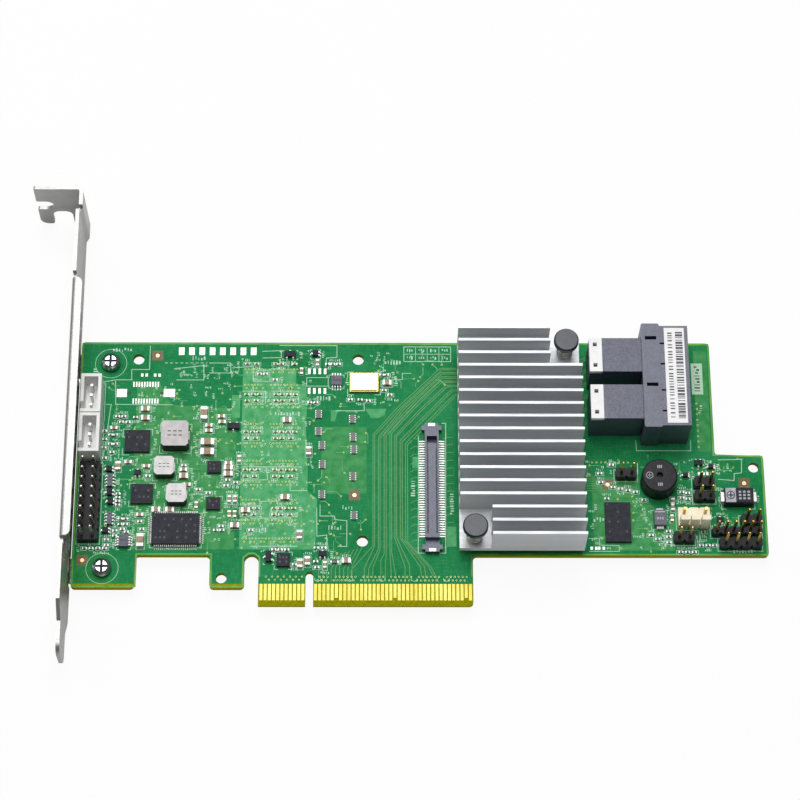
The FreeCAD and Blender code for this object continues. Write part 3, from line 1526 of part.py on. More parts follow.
def make_diode():
    """Moulded diode standing across the board, with a terminal at each end."""
    x = right_edge - 26.0
    y = size.lower_edge + 9.2
    half_x = size.diode_width / 2
    half_y = size.diode_length / 2
    node(block("diode_case", (x - half_x, y - half_y, 0),
               (size.diode_width, size.diode_length, size.diode_height)), "diode")
    clips = []
    for side in (-1, 1):
        centre = y.value + side * (half_y.value + 0.3)
        clips.append(solid_box(x.value, centre, 0, 1.6, 0.6, size.diode_height.value * 0.5))
    solids_node("diode_terminals", clips)


# ---------------------------------------------------------------- chip capacitors and resistors

CHIP_CASES = {
    # length, width and height of the standard chip cases
    "medium": (1.6, 0.8, 0.7),
    "large": (2.0, 1.25, 1.0),
    "huge": (3.2, 1.6, 1.5),
    "tiny": (1.0, 0.5, 0.4),
}


def chip_solids(case, x, y, upright, bottom=0.0, downwards=False):
    """The middle and the two soldered ends of a chip part."""
    length, width, height = CHIP_CASES[case]
    end = length * size.terminal_share.value
    if downwards:
        bottom -= height
    middle_length = length - 2 * end
    if upright:
        middle = solid_box(x, y, bottom, width, middle_length, height)
        ends = [solid_box(x, y + side * (length - end) / 2, bottom, width, end, height) for side in (-1, 1)]
    else:
        middle = solid_box(x, y, bottom, middle_length, width, height)
        ends = [solid_box(x + side * (length - end) / 2, y, bottom, end, width, height) for side in (-1, 1)]
    return middle, ends


def chip_set(entries):
    """Middles and ends for a list of (case, x, y, upright)."""
    middles = []
    ends = []
    for case, x, y, upright in entries:
        middle, pair = chip_solids(case, x, y, upright)
        middles.append(middle)
        ends += pair
    return middles, ends


def capacitor_places():
    """Ceramic capacitors, each near the piece that it serves."""
    left = left_edge.value
    right = right_edge.value
    low = size.lower_edge.value
    top = top_edge.value
    power = [
        ("large", left + 16.35, top - 18.2, False),
        ("large", left + 16.45, top - 20.6, False),
        ("large", left + 19.85, low + 11.5, False),
        ("large", left + 23.15, low + 11.5, False),
        ("large", -20.0, low + 22.5, False),
        ("large", -20.0, low + 20.9, False),
        ("large", left + 26.25, low + 20.3, False),
        ("large", left + 10.25, low + 22.9, True),
        ("huge", left + 16.35, low + 3.5, True),
        ("huge", -26.2, top - 19.5, True),
        ("huge", -25.2, low + 29.1, False),
        ("huge", -25.2, low + 26.5, False),
        ("medium", left + 8.85, low + 33.0, False),
        ("medium", left + 12.65, low + 24.0, False),
        ("medium", left + 17.15, low + 22.9, False),
        ("medium", left + 26.15, low + 22.0, False),
        ("medium", left + 27.15, low + 18.1, False),
        ("medium", left + 15.95, low + 10.3, False),
        ("medium", left + 29.5, low + 12.8, True),
        ("medium", -25.0, low + 33.7, False),
        ("medium", -25.0, low + 32.3, False),
        ("medium", -22.0, top - 20.1, False),
        ("medium", -21.8, top - 21.6, False),
        ("medium", -20.0, low + 23.8, False),
        ("medium", -17.4, low + 24.9, True),
    ]
    memory = [
        ("large", -15.6, low + 11.4, False),
        ("large", -18.1, low + 7.5, False),
        ("large", -5.9, low + 35.1, False),
        ("large", -6.1, low + 14.8, False),
        ("large", -2.5, low + 5.1, True),
        ("large", -0.5, low + 26.9, True),
        ("medium", -2.5, top - 7.9, True),
        ("medium", -19.6, low + 14.4, True),
        ("medium", -18.2, low + 14.4, True),
        ("medium", -19.5, low + 10.5, True),
        ("medium", -18.2, low + 10.5, True),
        ("medium", 1.4, top - 5.6, True),
        ("large", 18.6, top - 11.1, False),
        ("large", -2.3, low - 2.2, True),
        ("large", -0.5, low - 1.6, True),
        ("large", 8.8, low - 1.5, False),
        ("medium", 3.7, low - 2.5, True),
    ]
    far_end = [
        ("medium", right - 24.2, low + 20.6, True),
        ("medium", right - 22.7, low + 13.9, True),
        ("medium", right - 22.7, low + 12.4, True),
        ("medium", right - 23.0, low + 9.6, True),
    ]
    return power + memory + far_end


def decoupling_places():
    """Rows of tiny capacitors over the five memory chips on the other side."""
    first = size.lower_edge.value + size.memory_first_rise.value
    pitch = size.memory_pitch.value
    full_row = (-15.9, -14.3, -12.8, -8.7, -7.2, -5.6, -4.0)
    short_row = (-15.8, -13.6, -8.7, -7.1, -4.9)
    places = []
    for step in range(int(size.memory_count.value) - 1):
        for x in full_row:
            places.append(("tiny", x, first + pitch * step + 0.8, False))
        for x in short_row:
            places.append(("tiny", x, first + pitch * step - 0.9, False))
    top = top_edge.value
    for x in (-15.9, -13.6, -8.9, -7.5, -4.2):
        places.append(("tiny", x, top - 5.9, False))
    return places


def resistor_places():
    """Small resistors among the regulators, the headers and the oscillator."""
    left = left_edge.value
    right = right_edge.value
    low = size.lower_edge.value
    top = top_edge.value
    column = [("tiny", left + 10.5, low + 12.9 + 0.95 * step, False) for step in range(4)]
    near_board_end = [("tiny", left + 3.0 + 1.6 * step, low + 1.7, False) for step in range(4)]
    upper = [("tiny", left + x, top - y, False) for x, y in
             ((9.6, 20.1), (11.1, 20.1), (14.0, 20.3), (10.6, 21.6), (12.2, 21.6), (8.1, 25.0), (9.3, 25.0),
              (8.1, 27.4), (9.4, 27.4), (8.6, 29.6), (6.6, 24.0), (6.7, 26.2), (6.6, 28.4), (6.8, 31.1))]
    lower = [("tiny", left + x, low + y, False) for x, y in
             ((11.3, 9.3), (12.6, 9.3), (11.3, 7.9), (12.6, 7.9), (11.9, 6.6), (10.1, 6.2), (10.1, 4.9),
              (16.0, 8.6), (16.6, 6.6), (12.9, 5.9), (8.2, 3.9), (8.2, 2.5), (17.6, 20.4), (26.2, 23.2),
              (29.9, 16.9), (37.0, 19.4), (38.9, 18.7), (36.6, 17.9), (32.3, 16.0))]
    middle = [("tiny", x, top - y, False) for x, y in
              ((3.9, 5.9), (5.2, 5.9), (6.6, 5.9), (17.3, 8.8), (18.5, 8.8), (9.6, 15.5), (12.0, 15.5),
               (14.0, 15.8), (17.9, 13.0), (19.3, 14.2), (-0.4, 16.3), (1.1, 16.3), (-12.9, 8.6), (-11.4, 8.6),
               (-9.0, 10.2))]
    bottom = [("tiny", x, low + y, False) for x, y in
              ((1.6, 1.9), (3.4, 1.9), (1.5, -1.6), (1.8, -3.1), (5.6, -1.7), (6.4, -1.7), (-3.6, -2.4),
               (-14.2, 6.4), (-21.2, 6.4), (-22.7, 6.4), (-21.4, 7.4), (-8.6, 1.4), (-7.1, 1.4), (-5.5, 1.4))]
    far_end = [("tiny", right - x, low + y, False) for x, y in
               ((37.0, 17.6), (35.2, 17.2), (33.4, 16.8), (31.6, 16.4), (37.2, 23.5), (20.3, 16.4),
                (20.3, 14.9), (18.9, 16.1), (18.9, 14.6), (24.0, 6.2), (24.0, 4.8), (24.0, 3.4),
                (21.2, 0.9), (19.6, 0.9), (18.0, 0.9), (16.2, 2.6), (14.6, 2.6), (13.0, 2.6), (38.6, 14.7),
                (39.9, 18.9), (40.1, 21.2), (29.6, 14.3), (28.2, 5.2), (26.7, 4.2), (15.6, 6.1))]
    return column + near_board_end + upper + lower + middle + bottom + far_end


def make_chip_parts():
    """All the small passive parts, split into bodies and soldered ends."""
    middles, ends = chip_set(capacitor_places())
    solids_node("ceramic_capacitors", middles)
    solids_node("ceramic_capacitor_ends", ends)
    middles, ends = chip_set(decoupling_places())
    solids_node("decoupling_capacitors", middles)
    solids_node("decoupling_capacitor_ends", ends)
    middles, ends = chip_set(resistor_places())
    solids_node("resistors", middles)
    solids_node("resistor_ends", ends)


def make_resistor_arrays():
    """Four-element arrays along the memory bus, each a body with four cross strips."""
    places = [(1.8, 49.5), (10.1, 48.2), (10.3, 43.4), (1.8, 44.9), (2.7, 41.2), (10.5, 40.1), (2.8, 36.2),
              (10.3, 33.0), (2.8, 28.3), (10.6, 22.9)]
    width = size.array_width.value
    length = size.array_length.value
    height = size.array_height.value
    solids_node("resistor_arrays", [solid_box(x, y, 0, width, length, height) for x, y in places])
    strips = []
    strip = 0.18
    for x, y in places:
        for side in (-1, 1):
            for step in range(4):
                along = y + (step - 1.5) * length / 4
                strips.append(solid_box(x + side * (width + strip) / 2, along, 0, strip, length / 8, height))
    solids_node("resistor_array_ends", strips)


def make_back_capacitors():
    """A grid of tiny capacitors behind the controller chip."""
    x, y = sink_centre
    middles = []
    for column in range(5):
        for row in range(4):
            place_x = x.value + (column - 2) * 3.2
            place_y = y.value + (row - 1.5) * 3.6
            middle, ends = chip_solids("tiny", place_x, place_y, False, under_side.value, True)
            middles.append(middle.fuse(ends).removeSplitter())
    solids_node("back_capacitors", middles)


# ---------------------------------------------------------------- build, check and write

def check_document():
    """Stops if any object failed or any sub-part has no valid solid."""
    doc.recompute()
    for item in doc.Objects:
        if "Invalid" in item.State or "Error" in item.State:
            raise RuntimeError("%s failed: %s" % (item.Name, item.State))
    for item in nodes:
        if item.Shape.isNull() or not item.Shape.isValid() or not item.Shape.Solids:
            raise RuntimeError("%s has no valid solid" % item.Label)
        for solid in item.Shape.Solids:
            if solid.Volume <= 0:
                raise RuntimeError("%s holds an empty solid" % item.Label)


def write_parts():
    """Writes each sub-part to its own STEP file, named after it."""
    os.makedirs("parts", exist_ok=True)
    for item in nodes:
        item.Shape.exportStep("parts/%s.step" % item.Label)


make_circuit_board()
make_edge_contacts()
make_bracket()
make_screws()
make_heat_sink()
make_controller_chip()
make_push_pins()
make_springs()
make_port_housing()
make_port_modules()
make_labels()
make_buzzer()
through_hole_pins = make_headers()
through_hole_pins += make_shrouded_sockets()
through_hole_pins += make_ivory_header()
solids_node("solder_tails", make_solder_tails(through_hole_pins))
make_mezzanine_socket()
make_flat_chips()
make_leaded_chips()
make_memory_chips()
make_oscillator()
make_inductors()
make_tantalum_capacitor()
make_diode()
make_chip_parts()
make_resistor_arrays()
make_back_capacitors()
check_document()
write_parts()
print("%d sub-parts written" % len(nodes))
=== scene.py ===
import math
import random
import bpy
from mathutils import Matrix, Vector


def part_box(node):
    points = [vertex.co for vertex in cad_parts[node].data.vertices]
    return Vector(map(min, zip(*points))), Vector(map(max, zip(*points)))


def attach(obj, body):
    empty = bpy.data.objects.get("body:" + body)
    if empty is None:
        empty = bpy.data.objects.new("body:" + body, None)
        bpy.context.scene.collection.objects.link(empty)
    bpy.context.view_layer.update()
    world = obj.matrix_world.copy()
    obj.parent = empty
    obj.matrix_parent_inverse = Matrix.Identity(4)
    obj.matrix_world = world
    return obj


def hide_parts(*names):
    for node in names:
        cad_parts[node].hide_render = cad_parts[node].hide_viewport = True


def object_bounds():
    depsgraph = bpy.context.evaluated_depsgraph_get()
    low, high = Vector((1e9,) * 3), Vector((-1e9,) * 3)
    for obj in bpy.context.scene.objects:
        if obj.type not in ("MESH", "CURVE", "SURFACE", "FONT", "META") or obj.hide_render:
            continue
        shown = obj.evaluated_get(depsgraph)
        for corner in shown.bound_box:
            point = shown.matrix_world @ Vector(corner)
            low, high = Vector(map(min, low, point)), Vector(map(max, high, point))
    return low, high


# Looks for the RAID controller card, in the frame's own axes. Places and sizes are written in the
# millimetres that a board designer thinks in, and MM turns them into metres.

MM = 0.001
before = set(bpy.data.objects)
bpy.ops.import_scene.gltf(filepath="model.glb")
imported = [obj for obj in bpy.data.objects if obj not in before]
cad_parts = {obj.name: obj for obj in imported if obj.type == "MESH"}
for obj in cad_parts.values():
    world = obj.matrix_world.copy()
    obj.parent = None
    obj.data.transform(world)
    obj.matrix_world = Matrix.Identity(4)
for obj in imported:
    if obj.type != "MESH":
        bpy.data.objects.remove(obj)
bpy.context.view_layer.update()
draw = random.Random(7)

BODY = "root"
board_low, board_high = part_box("circuit_board")
FRONT = board_high.z
BACK = board_low.z

# How far each printed or plated layer stands out from the face it lies on. Layers that cross are
# given different heights, to keep their faces apart.
LAYERS = {"ground": 0.010, "pour": 0.012, "laser": 0.012, "plane": 0.014, "track": 0.016,
          "trace": 0.018, "window": 0.020, "ink": 0.020, "chip_land": 0.022, "plating": 0.024,
          "stamp": 0.025, "overprint": 0.030, "pad": 0.030, "dot": 0.035, "silk": 0.036, "mark": 0.038}


# ---- colours and materials

def srgb(red, green, blue):
    """A colour given as it looks on screen, 0 to 255, in the linear form that shaders take."""
    channels = []
    for value in (red, green, blue):
        share = value / 255
        channels.append(share / 12.92 if share <= 0.04045 else ((share + 0.055) / 1.055) ** 2.4)
    return (*channels, 1.0)


def feed(socket, value):
    """Gives a socket a constant, or links another node's output to it."""
    if isinstance(value, bpy.types.NodeSocket):
        socket.id_data.links.new(value, socket)
    else:
        socket.default_value = value


def set_inputs(node, **inputs):
    """Feeds a node's inputs by name, with _ for a space."""
    for name, value in inputs.items():
        feed(node.inputs[name.replace("_", " ")], value)
    return node


def add_node(tree, kind, **inputs):
    return set_inputs(tree.nodes.new("ShaderNode" + kind), **inputs)


def new_material(name):
    """A material with its node tree, shader and object coordinates."""
    material = bpy.data.materials.new(name)
    material.use_nodes = True
    tree = material.node_tree
    place = add_node(tree, "TexCoord").outputs["Object"]
    return material, tree, tree.nodes["Principled BSDF"], place


def stretched(tree, place, scale):
    """Coordinates multiplied by a scale along each axis."""
    return add_node(tree, "Mapping", Vector=place, Scale=scale).outputs["Vector"]


def noise(tree, place, scale, detail=3.0):
    """Soft random values over the surface; scale counts features per metre."""
    return add_node(tree, "TexNoise", Vector=place, Scale=scale, Detail=detail).outputs["Fac"]


def spread(tree, value, low, high, start=0.3, end=0.7):
    """Stretches a value's middle range to run from low to high."""
    return add_node(tree, "MapRange", Value=value, From_Min=start, From_Max=end, To_Min=low,
                    To_Max=high).outputs["Result"]


def mix_colours(tree, share, first, second):
    """Blends two colours; each may be a constant or another node's output."""
    node = add_node(tree, "Mix")
    node.data_type = "RGBA"
    feed(node.inputs["Factor"], share)
    feed(node.inputs[6], first)
    feed(node.inputs[7], second)
    return node.outputs[2]


def two_tone(tree, value, dark, light):
    """Two screen colours that follow a value's middle range."""
    return mix_colours(tree, spread(tree, value, 0.0, 1.0), srgb(*dark), srgb(*light))


def calculate(tree, operation, *values):
    """An arithmetic result; each value may be a constant or another node's output."""
    node = add_node(tree, "Math")
    node.operation = operation
    for socket, value in zip(node.inputs, values):
        feed(socket, value)
    return node.outputs["Value"]


def coordinate(tree, vector, axis):
    """One coordinate of a vector."""
    return add_node(tree, "SeparateXYZ", Vector=vector).outputs[axis]


def facing(tree):
    """How far the surface faces up: 1 is up and -1 is down."""
    return coordinate(tree, add_node(tree, "NewGeometry").outputs["Normal"], "Z")


def bumped(tree, height, strength, distance):
    """The normal of a height field, in metres at full strength."""
    return add_node(tree, "Bump", Strength=strength, Distance=distance, Height=height).outputs["Normal"]


def surface(name, dark, light, metal=0.0, rough=(0.4, 0.55), patch=300.0, grain=3000.0, relief=0.2,
            depth=0.00003, stretch=(1, 1, 1), specular=0.5):
    """A mottled surface: two tones in patches, uneven gloss and a fine grain."""
    material, tree, shader, place = new_material(name)
    along = stretched(tree, place, stretch)
    fine = noise(tree, along, grain, 2.0)
    set_inputs(shader, Base_Color=two_tone(tree, noise(tree, along, patch), dark, light),
               Roughness=spread(tree, fine, *rough), Normal=bumped(tree, fine, relief, depth),
               Metallic=metal, Specular_IOR_Level=specular)
    return material


def buried_tracks(tree, place):
    """Fine lines along both axes where tracks lie under the mask, 0 to 1."""
    lines = [spread(tree, noise(tree, stretched(tree, place, scale), 420.0, 2.0), 0.0, 0.13, 0.54, 0.62)
             for scale in ((1, 9, 1), (9, 1, 1))]
    return calculate(tree, "ADD", *lines)


def board_material():
    """Green solder mask on the faces, bare laminate on the cut edges and under the contacts."""
    material, tree, shader, place = new_material("solder_mask_board")
    mask = two_tone(tree, noise(tree, place, 90.0), (16, 128, 70), (42, 148, 92))
    cloud = spread(tree, noise(tree, place, 900.0), 0.0, 0.3)
    mask = mix_colours(tree, cloud, mask, srgb(20, 102, 50))
    mask = mix_colours(tree, buried_tracks(tree, place), mask, srgb(104, 176, 122))
    weave = noise(tree, stretched(tree, place, (1, 1, 6)), 1500.0)
    laminate = two_tone(tree, weave, (134, 132, 2), (168, 168, 8))
    flat = calculate(tree, "GREATER_THAN", calculate(tree, "ABSOLUTE", facing(tree)), 0.98)
    finger_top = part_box("edge_contacts")[1].y
    masked = calculate(tree, "GREATER_THAN", coordinate(tree, place, "Y"), finger_top)
    share = calculate(tree, "MULTIPLY", flat, masked)
    fine = noise(tree, place, 2500.0)
    set_inputs(shader, Base_Color=mix_colours(tree, share, laminate, mask),
               Roughness=spread(tree, fine, 0.34, 0.46), Normal=bumped(tree, fine, 0.15, 0.00002),
               Specular_IOR_Level=0.02)
    return material


def iron_with_painted_side_shade(name, dark, light):
    """Inductor cases: the case's own mottled colour on faces that look up, and painted shade, a dark
    grey, on the sides.
    """
    material = surface(name, dark, light, rough=(0.45, 0.6), patch=600.0, grain=3200.0, relief=0.5)
    tree = material.node_tree
    colour = tree.nodes["Principled BSDF"].inputs["Base Color"]
    case_colour = colour.links[0].from_socket
    # Faces that do not look up get a flat dark grey: painted shade on the case's sides.
    top = calculate(tree, "GREATER_THAN", facing(tree), 0.6)
    feed(colour, mix_colours(tree, top, srgb(46, 46, 48), case_colour))
    return material


# Finishes that several surfaces share.
MASKED = {"rough": (0.3, 0.42), "patch": 500.0, "grain": 2200.0, "specular": 0.04}
MASKED_LINE = {"rough": (0.3, 0.45), "patch": 900.0, "specular": 0.2}
TINNED = {"metal": 0.3, "patch": 900.0, "relief": 0.3}
MOULDED = {"patch": 420.0, "grain": 2600.0, "relief": 0.25, "depth": 0.00004}
PAPER = {"rough": (0.5, 0.65), "patch": 700.0}
MARKED = {"rough": (0.5, 0.65), "patch": 1500.0}

MATERIALS = {
    "board": board_material(),
    "pour": surface("mask_over_copper", (62, 162, 92), (100, 184, 128), **MASKED),
    "pour_green": surface("mask_over_ground", (44, 140, 70), (82, 164, 102), **MASKED),
    "pour_deep": surface("mask_over_plane", (24, 120, 56), (44, 146, 80), **MASKED),
    "rim": surface("mask_at_edge", (66, 150, 30), (120, 186, 70), rough=(0.3, 0.45), patch=200.0,
                   specular=0.2),
    "trace": surface("masked_trace", (84, 152, 86), (122, 174, 104), **MASKED_LINE),
    "track": surface("masked_track", (70, 158, 96), (112, 186, 128), **MASKED_LINE),
    "silk": surface("screen_print", (166, 216, 184), (208, 238, 218), rough=(0.55, 0.7), patch=900.0,
                    relief=0.3, specular=0.1),
    "land": surface("tinned_land", (146, 152, 146), (190, 196, 188), rough=(0.35, 0.5), **TINNED),
    "tin": surface("hot_tin", (196, 198, 196), (236, 236, 234), rough=(0.3, 0.45), **TINNED),
    "solder": surface("solder_joint", (166, 168, 168), (222, 222, 220), metal=0.85, rough=(0.2, 0.35),
                      patch=1500.0, relief=0.4),
    "gold": surface("hard_gold", (206, 190, 70), (236, 224, 116), metal=0.3, rough=(0.4, 0.5),
                    patch=260.0, stretch=(1, 0.25, 1), relief=0.1, specular=0.3),
    "pin_gold": surface("pin_gold", (170, 134, 60), (222, 186, 104), metal=1.0, rough=(0.2, 0.34),
                        patch=500.0),
    "via": surface("via_gold", (112, 138, 70), (166, 182, 112), metal=0.5, rough=(0.3, 0.45),
                   patch=1500.0),
    # Dark discs for open holes: painted shade inside the via and locating holes.
    "painted_hole_shade": surface("via_hole", (38, 52, 28), (60, 72, 38), rough=(0.5, 0.7), patch=1500.0),
    "bare": surface("bare_laminate", (84, 60, 6), (110, 82, 18), rough=(0.35, 0.5), patch=1200.0),
    "copper": surface("fiducial_copper", (236, 168, 110), (255, 206, 150), metal=0.5, rough=(0.3, 0.4),
                      patch=1800.0),
    "steel": surface("nickel_steel", (158, 159, 157), (170, 171, 169), metal=0.7, rough=(0.3, 0.42),
                     patch=260.0, grain=1800.0, relief=0.25, depth=0.00004),
    "screw": surface("bright_screw", (128, 134, 136), (176, 184, 184), metal=1.0, rough=(0.1, 0.2),
                     patch=1500.0),
    "fin": surface("anodised_fin", (202, 205, 209), (226, 228, 230), metal=0.35, rough=(0.42, 0.56),
                   patch=220.0, grain=2600.0, stretch=(0.06, 1, 1), relief=0.3),
    "carrier": surface("chip_carrier", (18, 72, 44), (30, 92, 58)),
    "gap_pad": surface("gap_pad", (120, 122, 126), (146, 148, 150), rough=(0.7, 0.85), relief=0.5),
    "pin_head": surface("moulded_nylon", (24, 26, 40), (38, 40, 56), rough=(0.28, 0.4), patch=500.0),
    "wire": surface("spring_wire", (174, 170, 162), (214, 210, 202), metal=0.9, rough=(0.22, 0.36)),
    "slate": surface("port_moulding", (66, 69, 92), (80, 83, 108), rough=(0.3, 0.42), specular=0.62,
                     **MOULDED),
    "block": surface("block_moulding", (66, 68, 91), (78, 80, 104), rough=(0.32, 0.46), specular=0.55,
                     **MOULDED),
    "white": surface("white_nylon", (238, 238, 236), (248, 248, 247), patch=500.0),
    "paper": surface("label_paper", (240, 240, 240), (252, 252, 252), **PAPER),
    "pale_paper": surface("green_label_paper", (172, 218, 182), (196, 232, 202), **PAPER),
    "ink": surface("label_ink", (70, 70, 78), (104, 104, 112), rough=(0.6, 0.75), patch=1500.0),
    # Black mouldings; the same material is also the painted shade in the screws' cross recesses.
    "black": surface("black_moulding_and_recess_shade", (14, 14, 18), (28, 28, 36), rough=(0.4, 0.56), patch=600.0,
                     grain=3200.0, relief=0.4, depth=0.00004, specular=0.25),
    "socket": surface("socket_moulding", (60, 65, 90), (76, 81, 108), rough=(0.32, 0.45), patch=600.0,
                      specular=0.6),
    "ivory": surface("ivory_nylon", (242, 230, 198), (252, 244, 218), patch=700.0),
    "epoxy": surface("moulded_epoxy", (40, 41, 48), (56, 57, 66), rough=(0.5, 0.64), patch=900.0,
                     grain=4500.0, relief=0.4, specular=0.15),
    "epoxy_grey": surface("grey_epoxy", (84, 84, 96), (104, 104, 118), rough=(0.48, 0.62), patch=900.0,
                          grain=4500.0, relief=0.5),
    "print": surface("laser_print", (150, 152, 160), (196, 198, 206), **MARKED),
    "faint": surface("faint_print", (60, 60, 68), (72, 72, 80), **MARKED),
    "ceramic": surface("tan_ceramic", (132, 104, 76), (166, 138, 108), rough=(0.35, 0.5), patch=1500.0),
    "glaze": surface("black_glaze", (22, 24, 24), (44, 46, 46), rough=(0.2, 0.35), patch=1500.0),
    # Both inductor materials darken their sides with painted shade.
    "iron": iron_with_painted_side_shade("iron_with_painted_side_shade", (188, 183, 184), (210, 205, 205)),
    "pale_iron": iron_with_painted_side_shade("pale_iron_with_painted_side_shade", (212, 209, 207), (232, 229, 227)),
    "lid": surface("plated_lid", (236, 228, 206), (252, 250, 242), metal=0.5, rough=(0.15, 0.28),
                   patch=500.0),
    "lid_edge": surface("lid_braze", (204, 160, 64), (236, 196, 104), metal=0.6, rough=(0.25, 0.4),
                        patch=900.0),
}


# ---- flat and solid pieces in code

CORNERS = ((-1, -1), (1, -1), (1, 1), (-1, 1))


def new_object(name, data):
    """An object in the scene around a mesh, a lamp or a camera."""
    thing = bpy.data.objects.new(name, data)
    bpy.context.scene.collection.objects.link(thing)
    return thing


def circle(x, y, radius, sides, turn=0.0):
    """Points around a centre."""
    return [(x + radius * math.cos(turn + math.tau * i / sides),
             y + radius * math.sin(turn + math.tau * i / sides)) for i in range(sides)]


def in_metres(points):
    return [(x * MM, y * MM) for x, y in points]


class Pile:
    """Collects closed solids for one piece, all with one material."""

    def __init__(self):
        self.points = []
        self.faces = []

    def prism(self, outline, low, high):
        """A solid between two heights over a closed outline, given in metres."""
        self.taper(outline, outline, low, high)

    def taper(self, lower, upper, low, high):
        """A solid whose top outline may differ from its bottom one."""
        start = len(self.points)
        count = len(lower)
        self.points += [(x, y, low) for x, y in lower]
        self.points += [(x, y, high) for x, y in upper]
        self.faces.append(tuple(start + i for i in reversed(range(count))))
        self.faces.append(tuple(start + count + i for i in range(count)))
        for i in range(count):
            after = (i + 1) % count
            self.faces.append((start + i, start + after, start + count + after, start + count + i))

    def make(self, name, material, slot, smooth=False, replaces=()):
        """Turns the pile into one piece that rides on the card."""
        mesh = bpy.data.meshes.new(name)
        mesh.from_pydata(self.points, [], self.faces)
        mesh.update()
        if smooth:
            mesh.shade_smooth()
        piece = new_object(name, mesh)
        mesh.materials.append(MATERIALS[material])
        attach(piece, BODY)
        if replaces:
            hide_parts(*replaces)
        return piece


class Print(Pile):
    """A thin printed, etched or plated layer, drawn in millimetres on the board or on a part's top."""

    def __init__(self, layer, back=False, on=None):
        super().__init__()
        self.thickness = LAYERS[layer] * MM
        if back:
            self.stand_on(BACK - self.thickness)
        else:
            self.stand_on(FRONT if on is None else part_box(on)[1].z)

    def stand_on(self, height):
        """Sets the height, in metres, that the next shapes stand on."""
        self.low = height
        self.high = height + self.thickness

    def shape(self, outline):
        """A filled outline, anticlockwise."""
        self.prism(in_metres(outline), self.low, self.high)

    def box(self, x0, y0, x1, y1):
        self.shape([(x0, y0), (x1, y0), (x1, y1), (x0, y1)])

    def bar(self, x, y, width, height):
        """A rectangle around its centre."""
        self.box(x - width / 2, y - height / 2, x + width / 2, y + height / 2)

    def disc(self, x, y, radius, sides=8):
        self.shape(circle(x, y, radius, sides, 0.2))

    def ring(self, x, y, outer, inner, sides=20):
        """A flat ring made of one closed ribbon."""
        self.line(circle(x, y, (outer + inner) / 2, sides), outer - inner, closed=True)

    def line(self, path, width, closed=False):
        """A ribbon of even width along a path, mitred at its corners."""
        count = len(path)
        left = []
        right = []
        for i, point in enumerate(path):
            here = Vector(point)
            before = Vector(path[i - 1]) if closed or i > 0 else None
            after = Vector(path[(i + 1) % count]) if closed or i < count - 1 else None
            into = (here - before).normalized() if before is not None else None
            out = (after - here).normalized() if after is not None else None
            along = into if out is None else out if into is None else (into + out)
            if along.length < 0.001:
                along = into
            along.normalize()
            across = Vector((-along.y, along.x))
            reference = into if into is not None else out
            reach = max(0.5, abs(across.dot(Vector((-reference.y, reference.x)))))
            offset = across * (width / 2 / reach)
            left.append(here + offset)
            right.append(here - offset)
        start = len(self.points)
        for height in (self.low, self.high):
            for side in (left, right):
                self.points += [(p.x * MM, p.y * MM, height) for p in side]
        lower_left, lower_right, upper_left, upper_right = (start + count * i for i in range(4))
        for i in range(count if closed else count - 1):
            j = (i + 1) % count
            self.faces.append((upper_right + i, upper_right + j, upper_left + j, upper_left + i))
            self.faces.append((lower_left + i, lower_left + j, lower_right + j, lower_right + i))
            self.faces.append((upper_left + i, upper_left + j, lower_left + j, lower_left + i))
            self.faces.append((lower_right + i, lower_right + j, upper_right + j, upper_right + i))
        if not closed:
            self.faces.append((upper_left, lower_left, lower_right, upper_right))
            k = count - 1
            self.faces.append((upper_right + k, lower_right + k, lower_left + k, upper_left + k))

    def frame(self, x0, y0, x1, y1, width=0.16):
        """The outline of a rectangle."""
        self.line([(x0, y0), (x1, y0), (x1, y1), (x0, y1)], width, closed=True)

    def dashes(self, x, y, count, size=0.8, upright=False):
        """A row of small plain bars that stands where the board has a printed note."""
        step = size * 0.62
        for i in range(count):
            shift = (i - (count - 1) / 2) * step
            length = size * draw.choice((0.55, 0.8, 1.0))
            width = size * draw.choice((0.16, 0.3, 0.38))
            offset = (size - length) / 2 * draw.choice((-1, 0, 1))
            if upright:
                self.bar(x + offset, y + shift, length, width)
            else:
                self.bar(x + shift, y + offset, width, length)


def solids(node):
    """The box of each separate solid of a CAD node, in millimetres: x0, y0, z0, x1, y1, z1."""
    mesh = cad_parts[node].data
    owner = {}
    parent = list(range(len(mesh.vertices)))

    def root(i):
        while parent[i] != i:
            parent[i] = parent[parent[i]]
            i = parent[i]
        return i

    for vertex in mesh.vertices:
        key = tuple(round(c * 2e6) for c in vertex.co)
        first = owner.setdefault(key, vertex.index)
        parent[root(vertex.index)] = root(first)
    for polygon in mesh.polygons:
        corners = polygon.vertices
        for corner in corners[1:]:
            parent[root(corner)] = root(corners[0])
    boxes = {}
    for vertex in mesh.vertices:
        group = root(vertex.index)
        x, y, z = (c / MM for c in vertex.co)
        if group in boxes:
            b = boxes[group]
            boxes[group] = (min(b[0], x), min(b[1], y), min(b[2], z),
                            max(b[3], x), max(b[4], y), max(b[5], z))
        else:
            boxes[group] = (x, y, z, x, y, z)
    return list(boxes.values())


def middle_of(box):
    return ((box[0] + box[3]) / 2, (box[1] + box[4]) / 2)


def extent(node):
    """The low and high corners of a node's box, in millimetres."""
    return (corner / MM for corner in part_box(node))


# ---- materials on the CAD nodes

